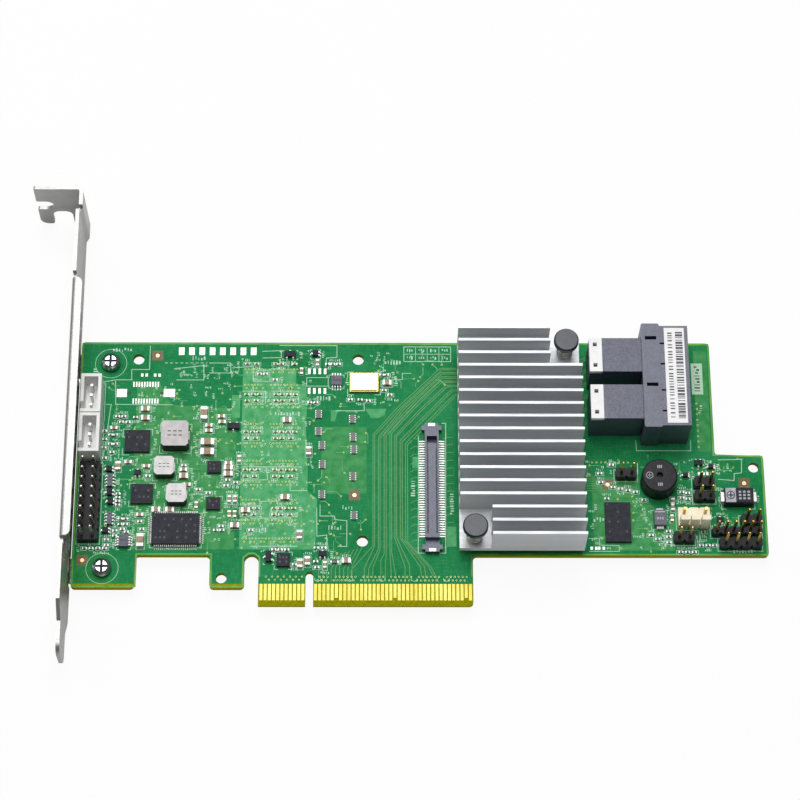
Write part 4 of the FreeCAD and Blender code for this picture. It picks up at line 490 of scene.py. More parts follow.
NODES_BY_MATERIAL = {
    "board": "circuit_board", "gold": "edge_contacts port_contacts", "steel": "bracket",
    "screw": "bracket_screws", "fin": "heat_sink", "carrier": "controller_chip",
    "gap_pad": "thermal_pad", "pin_head": "push_pins", "slate": "port_housing",
    "wire": "push_pin_springs management_header_pins", "block": "port_contact_blocks",
    "white": "port_combs shrouded_sockets", "paper": "port_label",
    "pale_paper": "board_label", "ivory": "ivory_header", "solder": "solder_tails",
    "black": "buzzer management_header serial_header indicator_header jumper_headers",
    "pin_gold": "small_header_pins ivory_header_pins", "socket": "mezzanine_socket",
    "tin": "shrouded_socket_pins mezzanine_leads small_outline_leads transistor_leads "
           "inductor_terminals tantalum_terminals diode_terminals ceramic_capacitor_ends resistor_ends "
           "resistor_array_ends",
    "epoxy": "regulator_chips flash_chip quad_chip transistors memory_chips tantalum_capacitor",
    "land": "quad_chip_leads", "epoxy_grey": "small_outline_chips diode", "lid_edge": "oscillator_base",
    "lid": "oscillator_lid", "iron": "large_inductor", "pale_iron": "small_inductors",
    "ceramic": "ceramic_capacitors back_capacitors", "via": "decoupling_capacitor_ends",
    "glaze": "decoupling_capacitors resistors resistor_arrays",
}

for material_name, node_names in NODES_BY_MATERIAL.items():
    for node_name in node_names.split():
        node_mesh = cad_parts[node_name].data
        node_mesh.materials.clear()
        node_mesh.materials.append(MATERIALS[material_name])


# ---- what stands on the board

TOUCH = 0.01  # faces closer than this meet


def chip_parts():
    """Each chip capacitor or resistor as its whole box and its long axis, from its two ends."""
    found = []
    for bodies, ends in (("ceramic_capacitors", "ceramic_capacitor_ends"),
                         ("decoupling_capacitors", "decoupling_capacitor_ends"),
                         ("resistors", "resistor_ends")):
        end_boxes = solids(ends)
        for b in solids(bodies):
            for axis in (0, 1):
                other = 1 - axis
                level = [e for e in end_boxes if abs(e[other] - b[other]) < TOUCH
                         and abs(e[other + 3] - b[other + 3]) < TOUCH]
                low = [e for e in level if abs(e[axis + 3] - b[axis]) < TOUCH]
                high = [e for e in level if abs(e[axis] - b[axis + 3]) < TOUCH]
                if low and high:
                    whole = list(b)
                    whole[axis] = low[0][axis]
                    whole[axis + 3] = high[0][axis + 3]
                    found.append((tuple(whole), axis))
                    break
    return found


CHIPS = chip_parts()
PACKAGES = {name: solids(name) for name in (
    "regulator_chips", "flash_chip", "quad_chip", "small_outline_chips", "transistors",
    "resistor_arrays", "large_inductor", "small_inductors", "tantalum_capacitor", "diode",
    "oscillator_base", "buzzer", "management_header", "serial_header", "indicator_header",
    "jumper_headers", "shrouded_sockets", "ivory_header", "mezzanine_socket", "port_housing",
    "port_contact_blocks", "port_combs", "controller_chip", "bracket_screws", "board_label")}
OCCUPIED = [box for boxes in PACKAGES.values() for box in boxes] + [box for box, axis in CHIPS]
SCREW_PLACES = [(-49.65, 63.1), (-49.65, 9.32)]
PIN_PLACES = [middle_of(box) for box in solids("push_pins")]
HOLES = [(-42.85, 64.3, 1.5), (11.5, 64.3, 1.5), (12.65, 16.38, 1.5), (108.0, 35.62, 1.4),
         (-21.1, 6.9, 1.4)]
HOLES += [(x, y, 3.4) for x, y in SCREW_PLACES] + [(x, y, 1.8) for x, y in PIN_PLACES]
FIDUCIALS = [(-38.2, 65.3), (10.7, 28.25), (72.2, 31.1), (105.5, 31.5), (-54.5, 11.4)]

# The board's outline without its small notches: the main field, the step over the shelf at the far
# end, the tongue with the edge contacts, and half the key slot with its clearance.
LEFT, RIGHT, LOW, TOP = -57.05, 110.5, 12.68, 68.9
SHELF_X, SHELF_Y = 98.7, 38.82
TONGUE_LEFT, TONGUE_RIGHT, TONGUE_LOW, TONGUE_TOP = -12.2, 39.2, 6.2, 14
KEY_HALF = 1.6


def on_board(x, y, margin=0.6):
    """True if a point lies on the board, clear of its edges and holes."""
    if not (LEFT + margin < x < RIGHT - margin and LOW + margin < y < TOP - margin):
        on_tongue = TONGUE_LEFT + margin < x < TONGUE_RIGHT - margin and TONGUE_LOW < y < TONGUE_TOP
        return on_tongue and not abs(x) < KEY_HALF
    if x > SHELF_X - margin and y > SHELF_Y - margin:
        return False
    return all(math.hypot(x - hx, y - hy) > radius + margin for hx, hy, radius in HOLES)


def clear_of(boxes, x, y, margin):
    """True if a point lies outside every box by a margin."""
    return not any(b[0] - margin < x < b[3] + margin and b[1] - margin < y < b[4] + margin
                   for b in boxes)


def is_free(x, y, margin):
    """True if nothing stands on the board's front at a point."""
    return clear_of(OCCUPIED, x, y, margin)


def near_fiducial(x, y, distance):
    return any(math.hypot(x - fx, y - fy) < distance for fx, fy in FIDUCIALS)


def step_from(point, length, angle):
    """The point at a length and an angle from another."""
    return (point[0] + length * math.cos(angle), point[1] + length * math.sin(angle))


# ---- copper and laminate in the board's faces

def pours():
    """Copper areas that show paler through the solder mask."""
    bright = Print("pour")
    bright.shape([(-17.0, 14.2), (1.2, 14.2), (1.7, 21.8), (1.6, 27.3), (-0.7, 29.2), (-0.7, 35.0),
                  (-1.3, 46.0), (-1.1, 50.7), (-1.3, 57.4), (-3.8, 57.7), (-3.8, 61.8), (-17.0, 61.8)])
    bright.box(-19.6, 48.6, -17.5, 54.7)
    bright.shape([(4.8, 47.7), (5.8, 47.7), (6.4, 50.0), (7.7, 50.7), (4.8, 50.7)])
    bright.shape([(13.2, 51.0), (14.7, 48.5), (16.6, 48.6), (18.1, 49.4), (18.4, 51.1)])
    bright.box(24.8, 35.3, 26.4, 38.3)
    bright.box(33.0, 15.0, 35.3, 20.1)
    bright.make("copper_pours", "pour", "green_laminate")
    ground = Print("ground")
    ground.shape([(-43.0, 14.2), (-18.2, 14.2), (-18.2, 51.0), (-34.1, 52.0), (-35.4, 53.6),
                  (-37.4, 58.0), (-43.0, 58.0)])
    ground.box(2.6, 28.6, 13.6, 46.2)
    ground.shape([(68.4, 14.0), (91.0, 14.0), (91.0, 22.4), (86.2, 22.4), (80.0, 28.5), (80.0, 33.0),
                  (68.4, 33.0)])
    ground.box(94.6, 39.8, 97.9, 66.8)
    ground.make("ground_pours", "pour_green", "green_laminate")
    deep = Print("plane")
    deep.shape([(-56.2, 6.0), (-47.5, 6.0), (-47.5, 13.6), (-56.2, 13.6)])
    deep.shape([(94.2, 35.2), (103.5, 35.2), (103.5, 37.4), (94.2, 37.4)])
    deep.make("plane_openings", "pour_deep", "green_laminate")


def rim():
    """The mask's pale line along the routed edge, broken at the fingers."""
    inset = 0.32
    left = board_low.x / MM + inset
    right, top = board_high.x / MM - inset, board_high.y / MM - inset
    line = Print("pour")
    line.line([(-12.0, 7.2), (-12.0, 12.2), (-13.2, 13.2), (-14.6, 13.2), (-15.9, 12.2), (-15.95, 4.75),
               (-23.55, 4.75), (-23.6, 13.0), (-41.6, 13.0), (-41.65, 4.75), (left, 4.75), (left, top),
               (98.4, top), (98.4, 39.2 - inset), (right, 38.5), (right, 13.0), (38.9, 13.0),
               (38.88, 7.2)], 0.4)
    line.make("board_rim", "rim", "green_laminate")


def bundle(traces):
    """The matched pairs between the edge contacts, the socket and the controller."""
    runs = [
        [(10.0, 7.4), (10.0, 9.0), (15.2, 15.1), (15.2, 44.2), (21.4, 51.6)],
        [(13.2, 5.9), (13.2, 9.6), (15.6, 15.1), (15.6, 43.9), (21.8, 51.2)],
        [(14.2, 5.9), (14.2, 9.4), (16.5, 14.3), (16.5, 43.4), (22.6, 51.5)],
        [(15.2, 7.4), (15.2, 9.6), (16.9, 14.1), (16.9, 43.1), (23.0, 51.2)],
        [(17.1, 5.9), (17.1, 11.5), (17.9, 13.1), (17.9, 44.1), (21.8, 48.8), (27.2, 54.9)],
        [(18.2, 5.9), (18.2, 11.2), (18.4, 13.0), (18.4, 43.9), (22.2, 48.5), (27.6, 54.6)],
        [(19.6, 7.4), (19.3, 13.5), (19.3, 44.6), (24.7, 51.1), (30.2, 56.9)],
        [(20.9, 5.9), (19.7, 13.7), (19.7, 44.4), (25.1, 50.8), (30.6, 56.6)],
        [(22.9, 5.9), (22.9, 9.9), (20.5, 17.1), (20.5, 43.8), (26.9, 51.1)],
        [(24.0, 7.4), (24.0, 10.2), (20.9, 17.3), (20.9, 43.6), (27.3, 50.8)],
        [(26.9, 7.4), (26.5, 9.9), (21.8, 17.1), (21.8, 42.6), (32.1, 53.8)],
        [(28.0, 5.9), (27.6, 9.9), (22.3, 17.0), (22.3, 42.2), (32.5, 53.5)],
        [(29.7, 7.4), (28.5, 9.9), (23.1, 16.4), (23.1, 41.8), (33.4, 53.0)],
        [(31.0, 5.9), (29.2, 9.6), (23.6, 16.2), (23.6, 41.4), (33.8, 52.6)],
    ]
    sink_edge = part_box("heat_sink")[0].x / MM
    for number, run in enumerate(runs):
        level = 62.0 - 1.15 * (number // 2) - 0.4 * (number % 2)
        x, y = run[-1]
        bend = min(x + level - y, sink_edge - 0.3)
        traces.line(run + [(bend, level), (sink_edge, level)], 0.15)
    for i in range(15):  # stubs on both sides of the mezzanine socket
        y = 14.6 + 2.03 * i
        traces.line([(24.3, y - 0.6), (25.2, y), (26.9, y)], 0.13)
        traces.line([(32.2, y), (33.6, y + 0.5), (34.8, y + 0.5)], 0.13)
    for i in range(9):  # up from the first edge contacts
        x = 2.2 + 1.0 * i
        traces.line([(x, 6.0), (x, 9.2 + 0.35 * (i % 3)), (x + 2.4, 12.4 + 0.3 * i)], 0.14)
    for i in range(7):  # from the heat sink towards the buzzer
        y = 29.5 + 0.62 * i
        traces.line([(67.0, y), (69.6, y), (71.4, y - 1.4), (78.0, y - 1.4)], 0.13)
    for i in range(6):  # pairs from the heat sink to the cable ports
        y = 47.0 + 3.4 * i
        traces.line([(66.0, y), (67.4, y), (67.9, y + 0.5), (70.8, y + 0.5)], 0.14)
        traces.line([(66.0, y + 0.5), (67.2, y + 0.5), (67.7, y + 1.0), (70.8, y + 1.0)], 0.14)


def wander(traces, vias, area, count, reach, straight=0.5):
    """Short routed runs with a 45-degree bend and a via at their end, inside one area."""
    x0, y0, x1, y1 = area
    for _ in range(count):
        start = (draw.uniform(x0, x1), draw.uniform(y0, y1))
        heading = draw.choice((0, 90, 180, 270))
        turned = heading + draw.choice((-45, 45))
        first = draw.uniform(0.6, reach)
        second = 0.0 if draw.random() < straight else draw.uniform(0.5, reach * 0.6)
        path = [start, step_from(start, first, math.radians(heading))]
        if second:
            path.append(step_from(path[-1], second, math.radians(turned)))
        if all(on_board(x, y) for x, y in path) and not near_fiducial(*start, reach + 2.2):
            traces.line(path, draw.choice((0.13, 0.16, 0.22)))
            vias.append(path[-1])


def memory_vias(vias):
    """Crossed double rows of vias between the memory chips' rows of balls."""
    rows = (61.2, 57.0, 51.8, 46.5, 41.4, 36.8, 31.3, 26.6, 21.3, 16.6)
    pitch = 0.8
    offset = 0.42
    for row in rows:
        groups = ((-16.2, -3.3),) if row == rows[-1] else ((-16.4, -12.1), (-10.0, -3.4))
        for start, stop in groups:
            for i in range(int((stop - start) / pitch) + 1):
                vias.append((start + pitch * i, row + offset))
                if i % 3 != 1:
                    vias.append((start + 0.4 + pitch * i, row - offset))


VIA_RADIUS = 0.24
VIA_HOLE_RADIUS = 0.14


def routed_layers():
    """Traces and vias on the component side."""
    traces = Print("trace")
    tracks = Print("track")
    via_places = []
    bundle(traces)
    wander(tracks, via_places, (-44.0, 14.5, -18.0, 57.0), 120, 2.6)
    wander(tracks, via_places, (-18.0, 14.0, 2.0, 66.0), 90, 3.4, 0.7)
    wander(tracks, via_places, (2.0, 14.0, 14.0, 56.0), 40, 3.0)
    wander(tracks, via_places, (67.0, 14.0, 109.0, 38.0), 90, 2.8)
    wander(tracks, via_places, (-54.0, 14.0, -45.0, 66.0), 18, 2.2)
    wander(tracks, via_places, (14.0, 56.0, 34.0, 67.0), 16, 3.0)
    traces.make("traces", "trace", "green_laminate")
    tracks.make("tracks", "track", "green_laminate")
    memory_vias(via_places)
    for row, shift in ((6.35, 0.0), (7.25, 0.5)):
        for i in range(40):
            x = 2.0 + shift + i * 0.95
            if x < 38.2 and i % 7 != 3:
                via_places.append((x, row))
    for i in range(13):
        via_places.append((-10.4 + 0.72 * i, 6.5 if i % 2 else 7.3))
    for i in range(9):
        via_places.append((68.6 + 1.1 * i, 36.9))
        via_places.append((94.9, 41.0 + 1.45 * i))
    rings = Print("plating")
    holes = Print("pad")
    for x, y in via_places:
        if on_board(x, y, 0.4) and is_free(x, y, 0.1):
            rings.disc(x, y, VIA_RADIUS)
            # A dark disc in each via: painted shade in its hole.
            holes.disc(x, y, VIA_HOLE_RADIUS, 6)
    rings.make("via_rings", "via", "gold_plate")
    holes.make("via_holes", "painted_hole_shade", "gold_plate")


def fiducials():
    """Copper dots, each in its own window of bare laminate."""
    windows = Print("window")
    dots = Print("dot")
    for x, y in FIDUCIALS:
        windows.bar(x, y, 2.7, 2.7)
        dots.disc(x, y, 0.48, 20)
    windows.make("fiducial_windows", "bare", "green_laminate")
    dots.make("fiducial_dots", "copper", "gold_plate")


# ---- pads and solder

def empty_pads():
    """Tinned lands with nothing soldered to them."""
    pads = Print("pad")
    for i in range(8):
        pads.bar(-32.3 + i * 2.55, 66.5, 1.4, 2.05)
    for row in (57.5, 53.0):
        for i in range(10):
            pads.bar(-43.8 + i * 0.667, row, 0.36, 1.35)
    pads.bar(-46.7, 55.15, 2.5, 2.15)
    pads.bar(-35.0, 55.2, 2.8, 2.15)
    for row in (61.1, 55.8):
        for x in (-0.6, 0.7, 2.0, 3.3):
            pads.bar(x, row, 0.6, 1.5)
    for x, y in ((-41.3, 60.0), (-38.1, 60.0), (95.2, 34.0), (97.2, 34.0), (68.4, 14.6), (70.2, 14.6)):
        pads.bar(x - 0.55, y, 0.6, 0.8)
        pads.bar(x + 0.55, y, 0.6, 0.8)
    pads.make("empty_pads", "tin", "tin_plate")
    # Two dark discs: painted shade in the locating holes.
    dots = Print("dot")
    dots.disc(-44.8, 55.1, 0.42, 14)
    dots.disc(-36.8, 55.1, 0.42, 14)
    dots.make("locating_holes", "painted_hole_shade", "green_laminate")


def around_end(points, centre, axis, side):
    """Points laid out along a part's axis, turned into the board's and kept anticlockwise."""
    cx, cy = centre
    ordered = points if side > 0 else points[::-1]
    return in_metres([(cx + a, cy + b) if axis == 0 else (cx - b, cy + a) for a, b in ordered])


def end_fillets():
    """A land and a slope of solder at each end of every chip part."""
    lands = Print("chip_land")
    slopes = Pile()
    for box, axis in CHIPS:
        length = box[axis + 3] - box[axis]
        reach = min(0.24, 0.15 * length)
        height = (box[5] - box[2]) * 0.7
        half = (box[4 - axis] - box[1 - axis]) / 2 + 0.05
        for side in (-1, 1):
            start = length / 2 * side
            under = start - 0.1 * side
            inner = start - 0.02 * side
            crest = start + 0.04 * side
            far = start + reach * side
            foot = far - 0.06 * side
            ground = [(under, -half), (far, -half), (far, half), (under, half)]
            lower = [(inner, -half + 0.03), (foot, -half + 0.05), (foot, half - 0.05),
                     (inner, half - 0.03)]
            upper = [(inner, -half + 0.08), (crest, -half + 0.08), (crest, half - 0.08),
                     (inner, half - 0.08)]
            ground, lower, upper = (around_end(points, middle_of(box), axis, side)
                                    for points in (ground, lower, upper))
            lands.prism(ground, lands.low, lands.high)
            slopes.taper(lower, upper, FRONT + 0.01 * MM, FRONT + height * MM)
    lands.make("chip_lands", "land", "tin_plate")
    slopes.make("chip_solder", "solder", "tin_plate")


def lead_pads():
    """Lands under the leads of the larger parts, a little longer than the leads."""
    pads = Print("plating")
    off_board = 0.2
    long_side, short_side = 0.3, 0.04
    for name in ("quad_chip_leads", "small_outline_leads", "transistor_leads", "mezzanine_leads",
                 "inductor_terminals", "tantalum_terminals", "diode_terminals", "resistor_array_ends"):
        for box in solids(name):
            if box[2] <= off_board:
                width, height = box[3] - box[0], box[4] - box[1]
                more_x, more_y = (long_side, short_side) if width > height else (short_side, long_side)
                pads.bar(*middle_of(box), width + more_x, height + more_y)
    pads.make("lead_lands", "land", "tin_plate")


# ---- screen print

def silk_paths(silk):
    """Long printed lines: outlines of empty places and borders between circuits."""
    paths = [
        [(-40.1, 68.0), (-40.1, 61.5), (-44.5, 61.5), (-44.4, 58.7), (-48.4, 58.7), (-51.7, 58.0)],
        [(-48.4, 58.7), (-48.1, 52.1), (-34.1, 52.0)],
        [(-34.0, 61.7), (-26.7, 62.6), (-26.6, 58.7), (-33.4, 58.7)],
        [(-25.8, 63.3), (-20.1, 63.3), (-20.0, 60.6), (-25.4, 60.6)],
        [(-19.8, 61.3), (-19.7, 59.4)],
        [(-51.2, 52.1), (-49.2, 52.1), (-50.6, 37.7)],
        [(-36.4, 47.6), (-36.2, 39.7), (-33.7, 39.3)],
        [(-19.0, 62.1), (-14.5, 62.3), (-14.4, 58.4), (-10.3, 58.4), (-10.3, 59.7)],
        [(-12.3, 66.5), (-7.6, 66.7), (-7.6, 64.8), (-12.2, 64.7)],
        [(-8.1, 68.1), (6.2, 68.1), (6.2, 64.9), (3.6, 64.7), (3.4, 62.3)],
        [(-17.0, 55.7), (-11.3, 55.7), (-11.3, 52.3)],
        [(-9.9, 55.7), (-3.1, 55.7), (-3.1, 52.4), (-10.3, 52.2)],
        [(6.0, 50.5), (13.0, 50.5), (13.0, 53.4)],
        [(-16.6, 35.6), (-2.3, 35.6)],
        [(-16.9, 35.4), (-16.8, 32.1), (-10.4, 32.2), (-10.8, 35.4)],
        [(-5.0, 32.2), (-4.9, 29.4), (-0.7, 29.4)],
        [(-4.0, 26.6), (-12.2, 26.6), (-12.1, 25.5), (-14.4, 25.3), (-14.3, 22.2), (-4.5, 22.3)],
        [(1.6, 25.0), (1.7, 17.6), (4.1, 17.9), (4.1, 14.2)],
        [(2.4, 25.7), (2.4, 22.8), (5.9, 22.8), (5.9, 21.9), (8.9, 21.6), (8.9, 15.0), (6.7, 15.0)],
        [(-14.3, 15.0), (-2.9, 15.0)],
        [(26.3, 43.9), (26.1, 13.3), (32.7, 13.3), (33.0, 47.2), (32.0, 47.2)],
        [(79.5, 42.8), (79.6, 40.0), (92.9, 40.0), (93.0, 42.9)],
        [(99.4, 37.6), (105.2, 37.8), (105.0, 34.2), (103.2, 34.0), (103.1, 32.2), (99.2, 32.5)],
        [(67.2, 17.1), (69.8, 17.1), (69.7, 15.4), (74.5, 15.3), (74.5, 13.8), (67.2, 13.8)],
        [(71.5, 26.5), (77.5, 26.5)],
        [(79.7, 36.8), (79.7, 33.8)],
    ]
    for path in paths:
        silk.line(path, 0.17)
    silk.frame(-1.2, 57.1, 4.1, 59.4)
    silk.frame(22.8, 63.8, 34.4, 67.8)
    silk.line([(22.8, 65.8), (34.4, 65.8)], 0.13)
    for x in (25.7, 28.6, 31.5):
        silk.line([(x, 63.8), (x, 67.8)], 0.13)
    silk.line([(24.6, 60.6), (22.4, 60.6), (22.4, 58.9), (19.8, 58.9), (19.8, 56.8), (17.4, 56.8)],
              0.15)
    for i in range(9):
        silk.bar(-36.0 + 1.27 * i, 63.3, 0.75, 0.17)
    for x in (2.0, 9.7, 17.4, 25.1, 32.8):
        silk.line([(x - 0.7, 6.9), (x - 0.7, 6.4), (x, 6.1), (x + 0.7, 6.4), (x + 0.7, 6.9)], 0.13)
    for x, y in SCREW_PLACES:
        silk.ring(x, y, 3.94, 3.82, 40)


def silk_around_parts(silk, marks):
    """Frames round the parts and small plain dashes where the board names them."""
    for box, axis in CHIPS:
        x0, y0, _, x1, y1, _ = box
        gap_x = 0.5 if axis == 0 else 0.22
        gap_y = 0.22 if axis == 0 else 0.5
        if draw.random() < 0.8 and max(x1 - x0, y1 - y0) > 0.9:
            silk.frame(x0 - gap_x, y0 - gap_y, x1 + gap_x, y1 + gap_y, 0.12)
        cx, cy = middle_of(box)
        length = draw.choice((3, 4, 4, 5))
        size = 0.72
        spots = [(cx, y1 + gap_y + 0.62, False), (cx, y0 - gap_y - 0.62, False),
                 (x1 + gap_x + 0.62, cy, True), (x0 - gap_x - 0.62, cy, True)]
        draw.shuffle(spots)
        for sx, sy, upright in spots:
            half = length * size * 0.31
            ends = [(sx, sy - half), (sx, sy + half)] if upright else [(sx - half, sy), (sx + half, sy)]
            if all(on_board(ex, ey, 0.3) and is_free(ex, ey, 0.2) for ex, ey in ends + [(sx, sy)]):
                marks.dashes(sx, sy, length, size, upright)
                break
    for name in ("regulator_chips", "small_outline_chips", "transistors", "quad_chip", "large_inductor",
                 "small_inductors", "tantalum_capacitor", "diode", "oscillator_base"):
        for x0, y0, _, x1, y1, _ in PACKAGES[name]:
            gap = 0.55
            corner = min(x1 - x0, y1 - y0) * 0.3
            for sx, sy in CORNERS:
                cx = x0 - gap if sx < 0 else x1 + gap
                cy = y0 - gap if sy < 0 else y1 + gap
                silk.line([(cx - sx * corner, cy), (cx, cy), (cx, cy - sy * corner)], 0.15)
            marks.disc(x0 - gap - 0.5, y1 + gap * 0.4, 0.2, 10)
            if on_board(x1 + 1.3, y1, 0.3) and is_free(x1 + 1.3, y1, 0.3):
                marks.dashes(x1 + 1.3, (y0 + y1) / 2, 4, 0.8, True)
    for name in ("management_header", "serial_header", "indicator_header", "jumper_headers",
                 "ivory_header", "shrouded_sockets"):
        for x0, y0, _, x1, y1, _ in PACKAGES[name]:
            silk.frame(x0 - 0.3, y0 - 0.3, x1 + 0.3, y1 + 0.3, 0.15)


def silk_notes(marks):
    """Rows of plain dashes where the board has longer printed notes."""
    rows = [(-47.0, 66.8, 7), (-28.0, 64.6, 5), (-6.0, 63.2, 6), (3.0, 53.8, 5), (20.0, 63.5, 6),
            (-5.9, 49.6, 9), (-5.9, 47.8, 7), (-12.5, 19.2, 6), (-8.0, 24.3, 5), (6.0, 19.8, 5),
            (9.0, 25.0, 4), (15.5, 56.0, 5), (95.8, 37.1, 6), (96.0, 30.4, 4), (86.0, 15.6, 6),
            (69.8, 22.0, 4), (83.2, 24.0, 5), (104.6, 13.9, 8), (93.0, 17.4, 4), (-49.8, 34.8, 3),
            (-49.6, 28.8, 4), (-49.2, 15.0, 5)]
    for x, y, count in rows:
        if is_free(x, y, 0.2):
            marks.dashes(x, y, count, 1.15)
    for x, y, count in ((20.9, 58.5, 5), (34.3, 26.0, 9), (24.9, 30.0, 7), (95.7, 51.0, 4),
                        (-53.4, 60.6, 4)):
        marks.dashes(x, y, count, 1.0, True)


def small_notes(marks):
    """Short dashes scattered over the crowded areas, wherever the board is free."""
    for x0, y0, x1, y1, count in ((-44.0, 14.5, -18.5, 58.0, 130), (-16.5, 14.5, 1.0, 64.0, 70),
                                  (67.5, 14.5, 108.0, 37.5, 120), (-34.0, 58.5, -18.0, 63.0, 26),
                                  (14.5, 52.0, 21.5, 66.5, 24)):
        for _ in range(count):
            x = draw.uniform(x0, x1)
            y = draw.uniform(y0, y1)
            if on_board(x, y, 1.4) and is_free(x, y, 0.75) and not near_fiducial(x, y, 2.4):
                marks.dashes(x, y, draw.choice((2, 3, 4)), 0.62, draw.random() < 0.5)


def rating_table(marks):
    """Short dashes in the cells of the framed table."""
    for column in range(4):
        for row in (64.8, 66.8):
            marks.dashes(24.25 + 2.9 * column, row, 3, 0.9)


def screen_print():
    silk = Print("silk")
    marks = Print("mark")
    silk_paths(silk)
    silk_around_parts(silk, marks)
    silk_notes(marks)
    small_notes(marks)
    rating_table(marks)
    silk.make("silk_lines", "silk", "green_laminate")
    marks.make("silk_marks", "silk", "green_laminate")


# ---- marks on the parts

def port_label_print():
    """Plain bars over the label's right half and dashes along its left edge."""
    low, high = extent("port_label")
    ink = Print("ink", on="port_label")
    y = low.y + 1.2
    while y < high.y - 1.0:
        width = draw.choice((0.2, 0.2, 0.4, 0.6))
        ink.box(low.x + 2.7, y, high.x - 0.45, y + width)
        y += width + draw.choice((0.2, 0.3, 0.5))
    y = low.y + 1.4
    while y < high.y - 1.6:
        length = draw.choice((0.7, 0.9, 1.1))
        ink.box(low.x + 0.8, y, low.x + 1.9, y + length * 0.32)
        y += length * 0.32 + draw.choice((0.35, 0.45, 0.8))
    ink.make("port_label_bars", "ink", "label_white")


def board_label_print():
    low, high = extent("board_label")
    ink = Print("ink", on="board_label")
    ink.dashes((low.x + high.x) / 2, (low.y + high.y) / 2, 9, 1.3, True)
    ink.make("board_label_marks", "faint", "label_green")


def buzzer_marks():
    """A plus sign in a ring beside the sound hole, and two small bars."""
    low, high = extent("buzzer")
    x, y = (low.x + high.x) / 2, (low.y + high.y) / 2
    marks = Print("stamp", on="buzzer")
    marks.bar(x - 2.5, y, 1.0, 0.14)
    marks.bar(x - 2.5, y, 0.14, 1.0)
    marks.ring(x - 2.5, y, 0.88, 0.74, 24)
    for step in (-0.42, 0.0, 0.42):
        marks.bar(x + step, y + 2.25, 0.26, 0.8)
        marks.bar(x + step, y - 2.35, 0.26, 0.8)
    marks.make("buzzer_marks", "print", "buzzer_black")


def capacitor_marks():
    """The polarity band with a plus sign, and plain dashes, on the tantalum capacitor and the diode."""
    low, high = extent("tantalum_capacitor")
    band = Print("ink", on="tantalum_capacitor")
    middle = (low.y + high.y) / 2
    band.box(low.x + 0.2, low.y + 0.2, low.x + 2.7, high.y - 0.2)
    for row in (-0.85, 0.0, 0.85):
        for i in range(3):
            band.bar(low.x + 3.7 + i * 1.05, middle + row, 0.62, 0.5)
    plus = Print("overprint", on="tantalum_capacitor")
    plus.bar(low.x + 1.45, middle, 1.5, 0.3)
    plus.bar(low.x + 1.45, middle, 0.3, 1.5)
    plus.ring(low.x + 1.45, middle, 1.05, 0.85, 20)
    plus.make("tantalum_plus", "black", "epoxy_black")
    low, high = extent("diode")
    marks = Print("ink", on="diode")
    marks.bar((low.x + high.x) / 2, high.y - 0.55, high.x - low.x - 0.5, 0.34)
    for i in range(3):
        marks.bar(low.x + 0.85 + i * 0.6, (low.y + high.y) / 2 - 0.3, 0.36, 0.62)
    band.make("tantalum_marks", "print", "epoxy_black")
    marks.make("diode_marks", "print", "epoxy_black")


def package_marks():
    """Pin-one dots and faint dashes on the tops of the moulded packages and the inductors."""
    faint = Print("laser")
    dots = Print("laser")
    for name, rows in (("regulator_chips", 2), ("small_outline_chips", 1), ("flash_chip", 3),
                       ("quad_chip", 4)):
        for x0, y0, _, x1, y1, z1 in PACKAGES[name]:
            faint.stand_on(z1 * MM)
            dots.stand_on(z1 * MM)
            dots.disc(x0 + 0.6, y1 - 0.6, 0.22, 12)
            width, height = x1 - x0, y1 - y0
            if width < 2 or height < 2:
                continue
            count = max(3, int(width / 1.1))
            for row in range(rows):
                y = y0 + height * (row + 1) / (rows + 1)
                for i in range(count):
                    if draw.random() >= 0.5:
                        faint.bar(x0 + width * (i + 1) / (count + 1), y, 0.44, 0.56)
    faint.make("package_dashes", "faint", "epoxy_black")
    dots.make("package_dots", "faint", "epoxy_black")
    ink = Print("laser")
    for name in ("large_inductor", "small_inductors"):
        for box in PACKAGES[name]:
            ink.stand_on(box[5] * MM)
            cx, cy = middle_of(box)
            step = (box[3] - box[0]) * 0.2
            length = step * 0.68
            for i in (-1, 0, 1):
                for row in (-1, 1):
                    ink.bar(cx + i * step, cy + row * step * 0.42, length, length * 0.3)
    ink.make("inductor_dashes", "ink", "inductor_grey")


def screw_recess_shade():
    """A black cross a little below each head's crown: painted shade in the cross recess."""
    shade = Pile()
    arm = 0.29
    span = 1.42
    bottom, top = 0.99, 0.22  # below the crown
    cross = [(-span, -arm), (-arm, -arm), (-arm, -span), (arm, -span), (arm, -arm), (span, -arm),
             (span, arm), (arm, arm), (arm, span), (-arm, span), (-arm, arm), (-span, arm)]
    for box in solids("bracket_screws"):
        cx, cy = middle_of(box)
        crown = box[5]
        shade.prism(in_metres([(cx + a, cy + b) for a, b in cross]), (crown - bottom) * MM,
                    (crown - top) * MM)
    shade.make("screw_recess_shade", "black", "screw_steel")


def springs():
    """Round spring wire that stands for the eight-sided one in the solids."""
    wire = 0.25
    mean = 1.75
    turns = 5.0
    sides = 10
    steps = 150
    low, high = (corner.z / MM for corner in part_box("push_pin_springs"))
    coil = Pile()
    for cx, cy in PIN_PLACES:
        start = len(coil.points)
        for i in range(steps + 1):
            share = i / steps
            angle = math.tau * turns * share
            height = low + wire + (high - low - 2 * wire) * share
            for j in range(sides):
                around = math.tau * j / sides
                x, y = step_from((cx, cy), mean + wire * math.cos(around), angle)
                coil.points.append((x * MM, y * MM, (height + wire * math.sin(around)) * MM))
        for i in range(steps):
            this, following = start + i * sides, start + (i + 1) * sides
            for j in range(sides):
                k = (j + 1) % sides
                coil.faces.append((this + j, following + j, following + k, this + k))
        coil.faces.append(tuple(start + j for j in range(sides)))
        coil.faces.append(tuple(start + steps * sides + j for j in reversed(range(sides))))
    coil.make("round_springs", "wire", "spring_steel", smooth=True, replaces=("push_pin_springs",))


# ---- the card's back

BACK_GROUPS = 150
TRACK_PITCH = 0.55


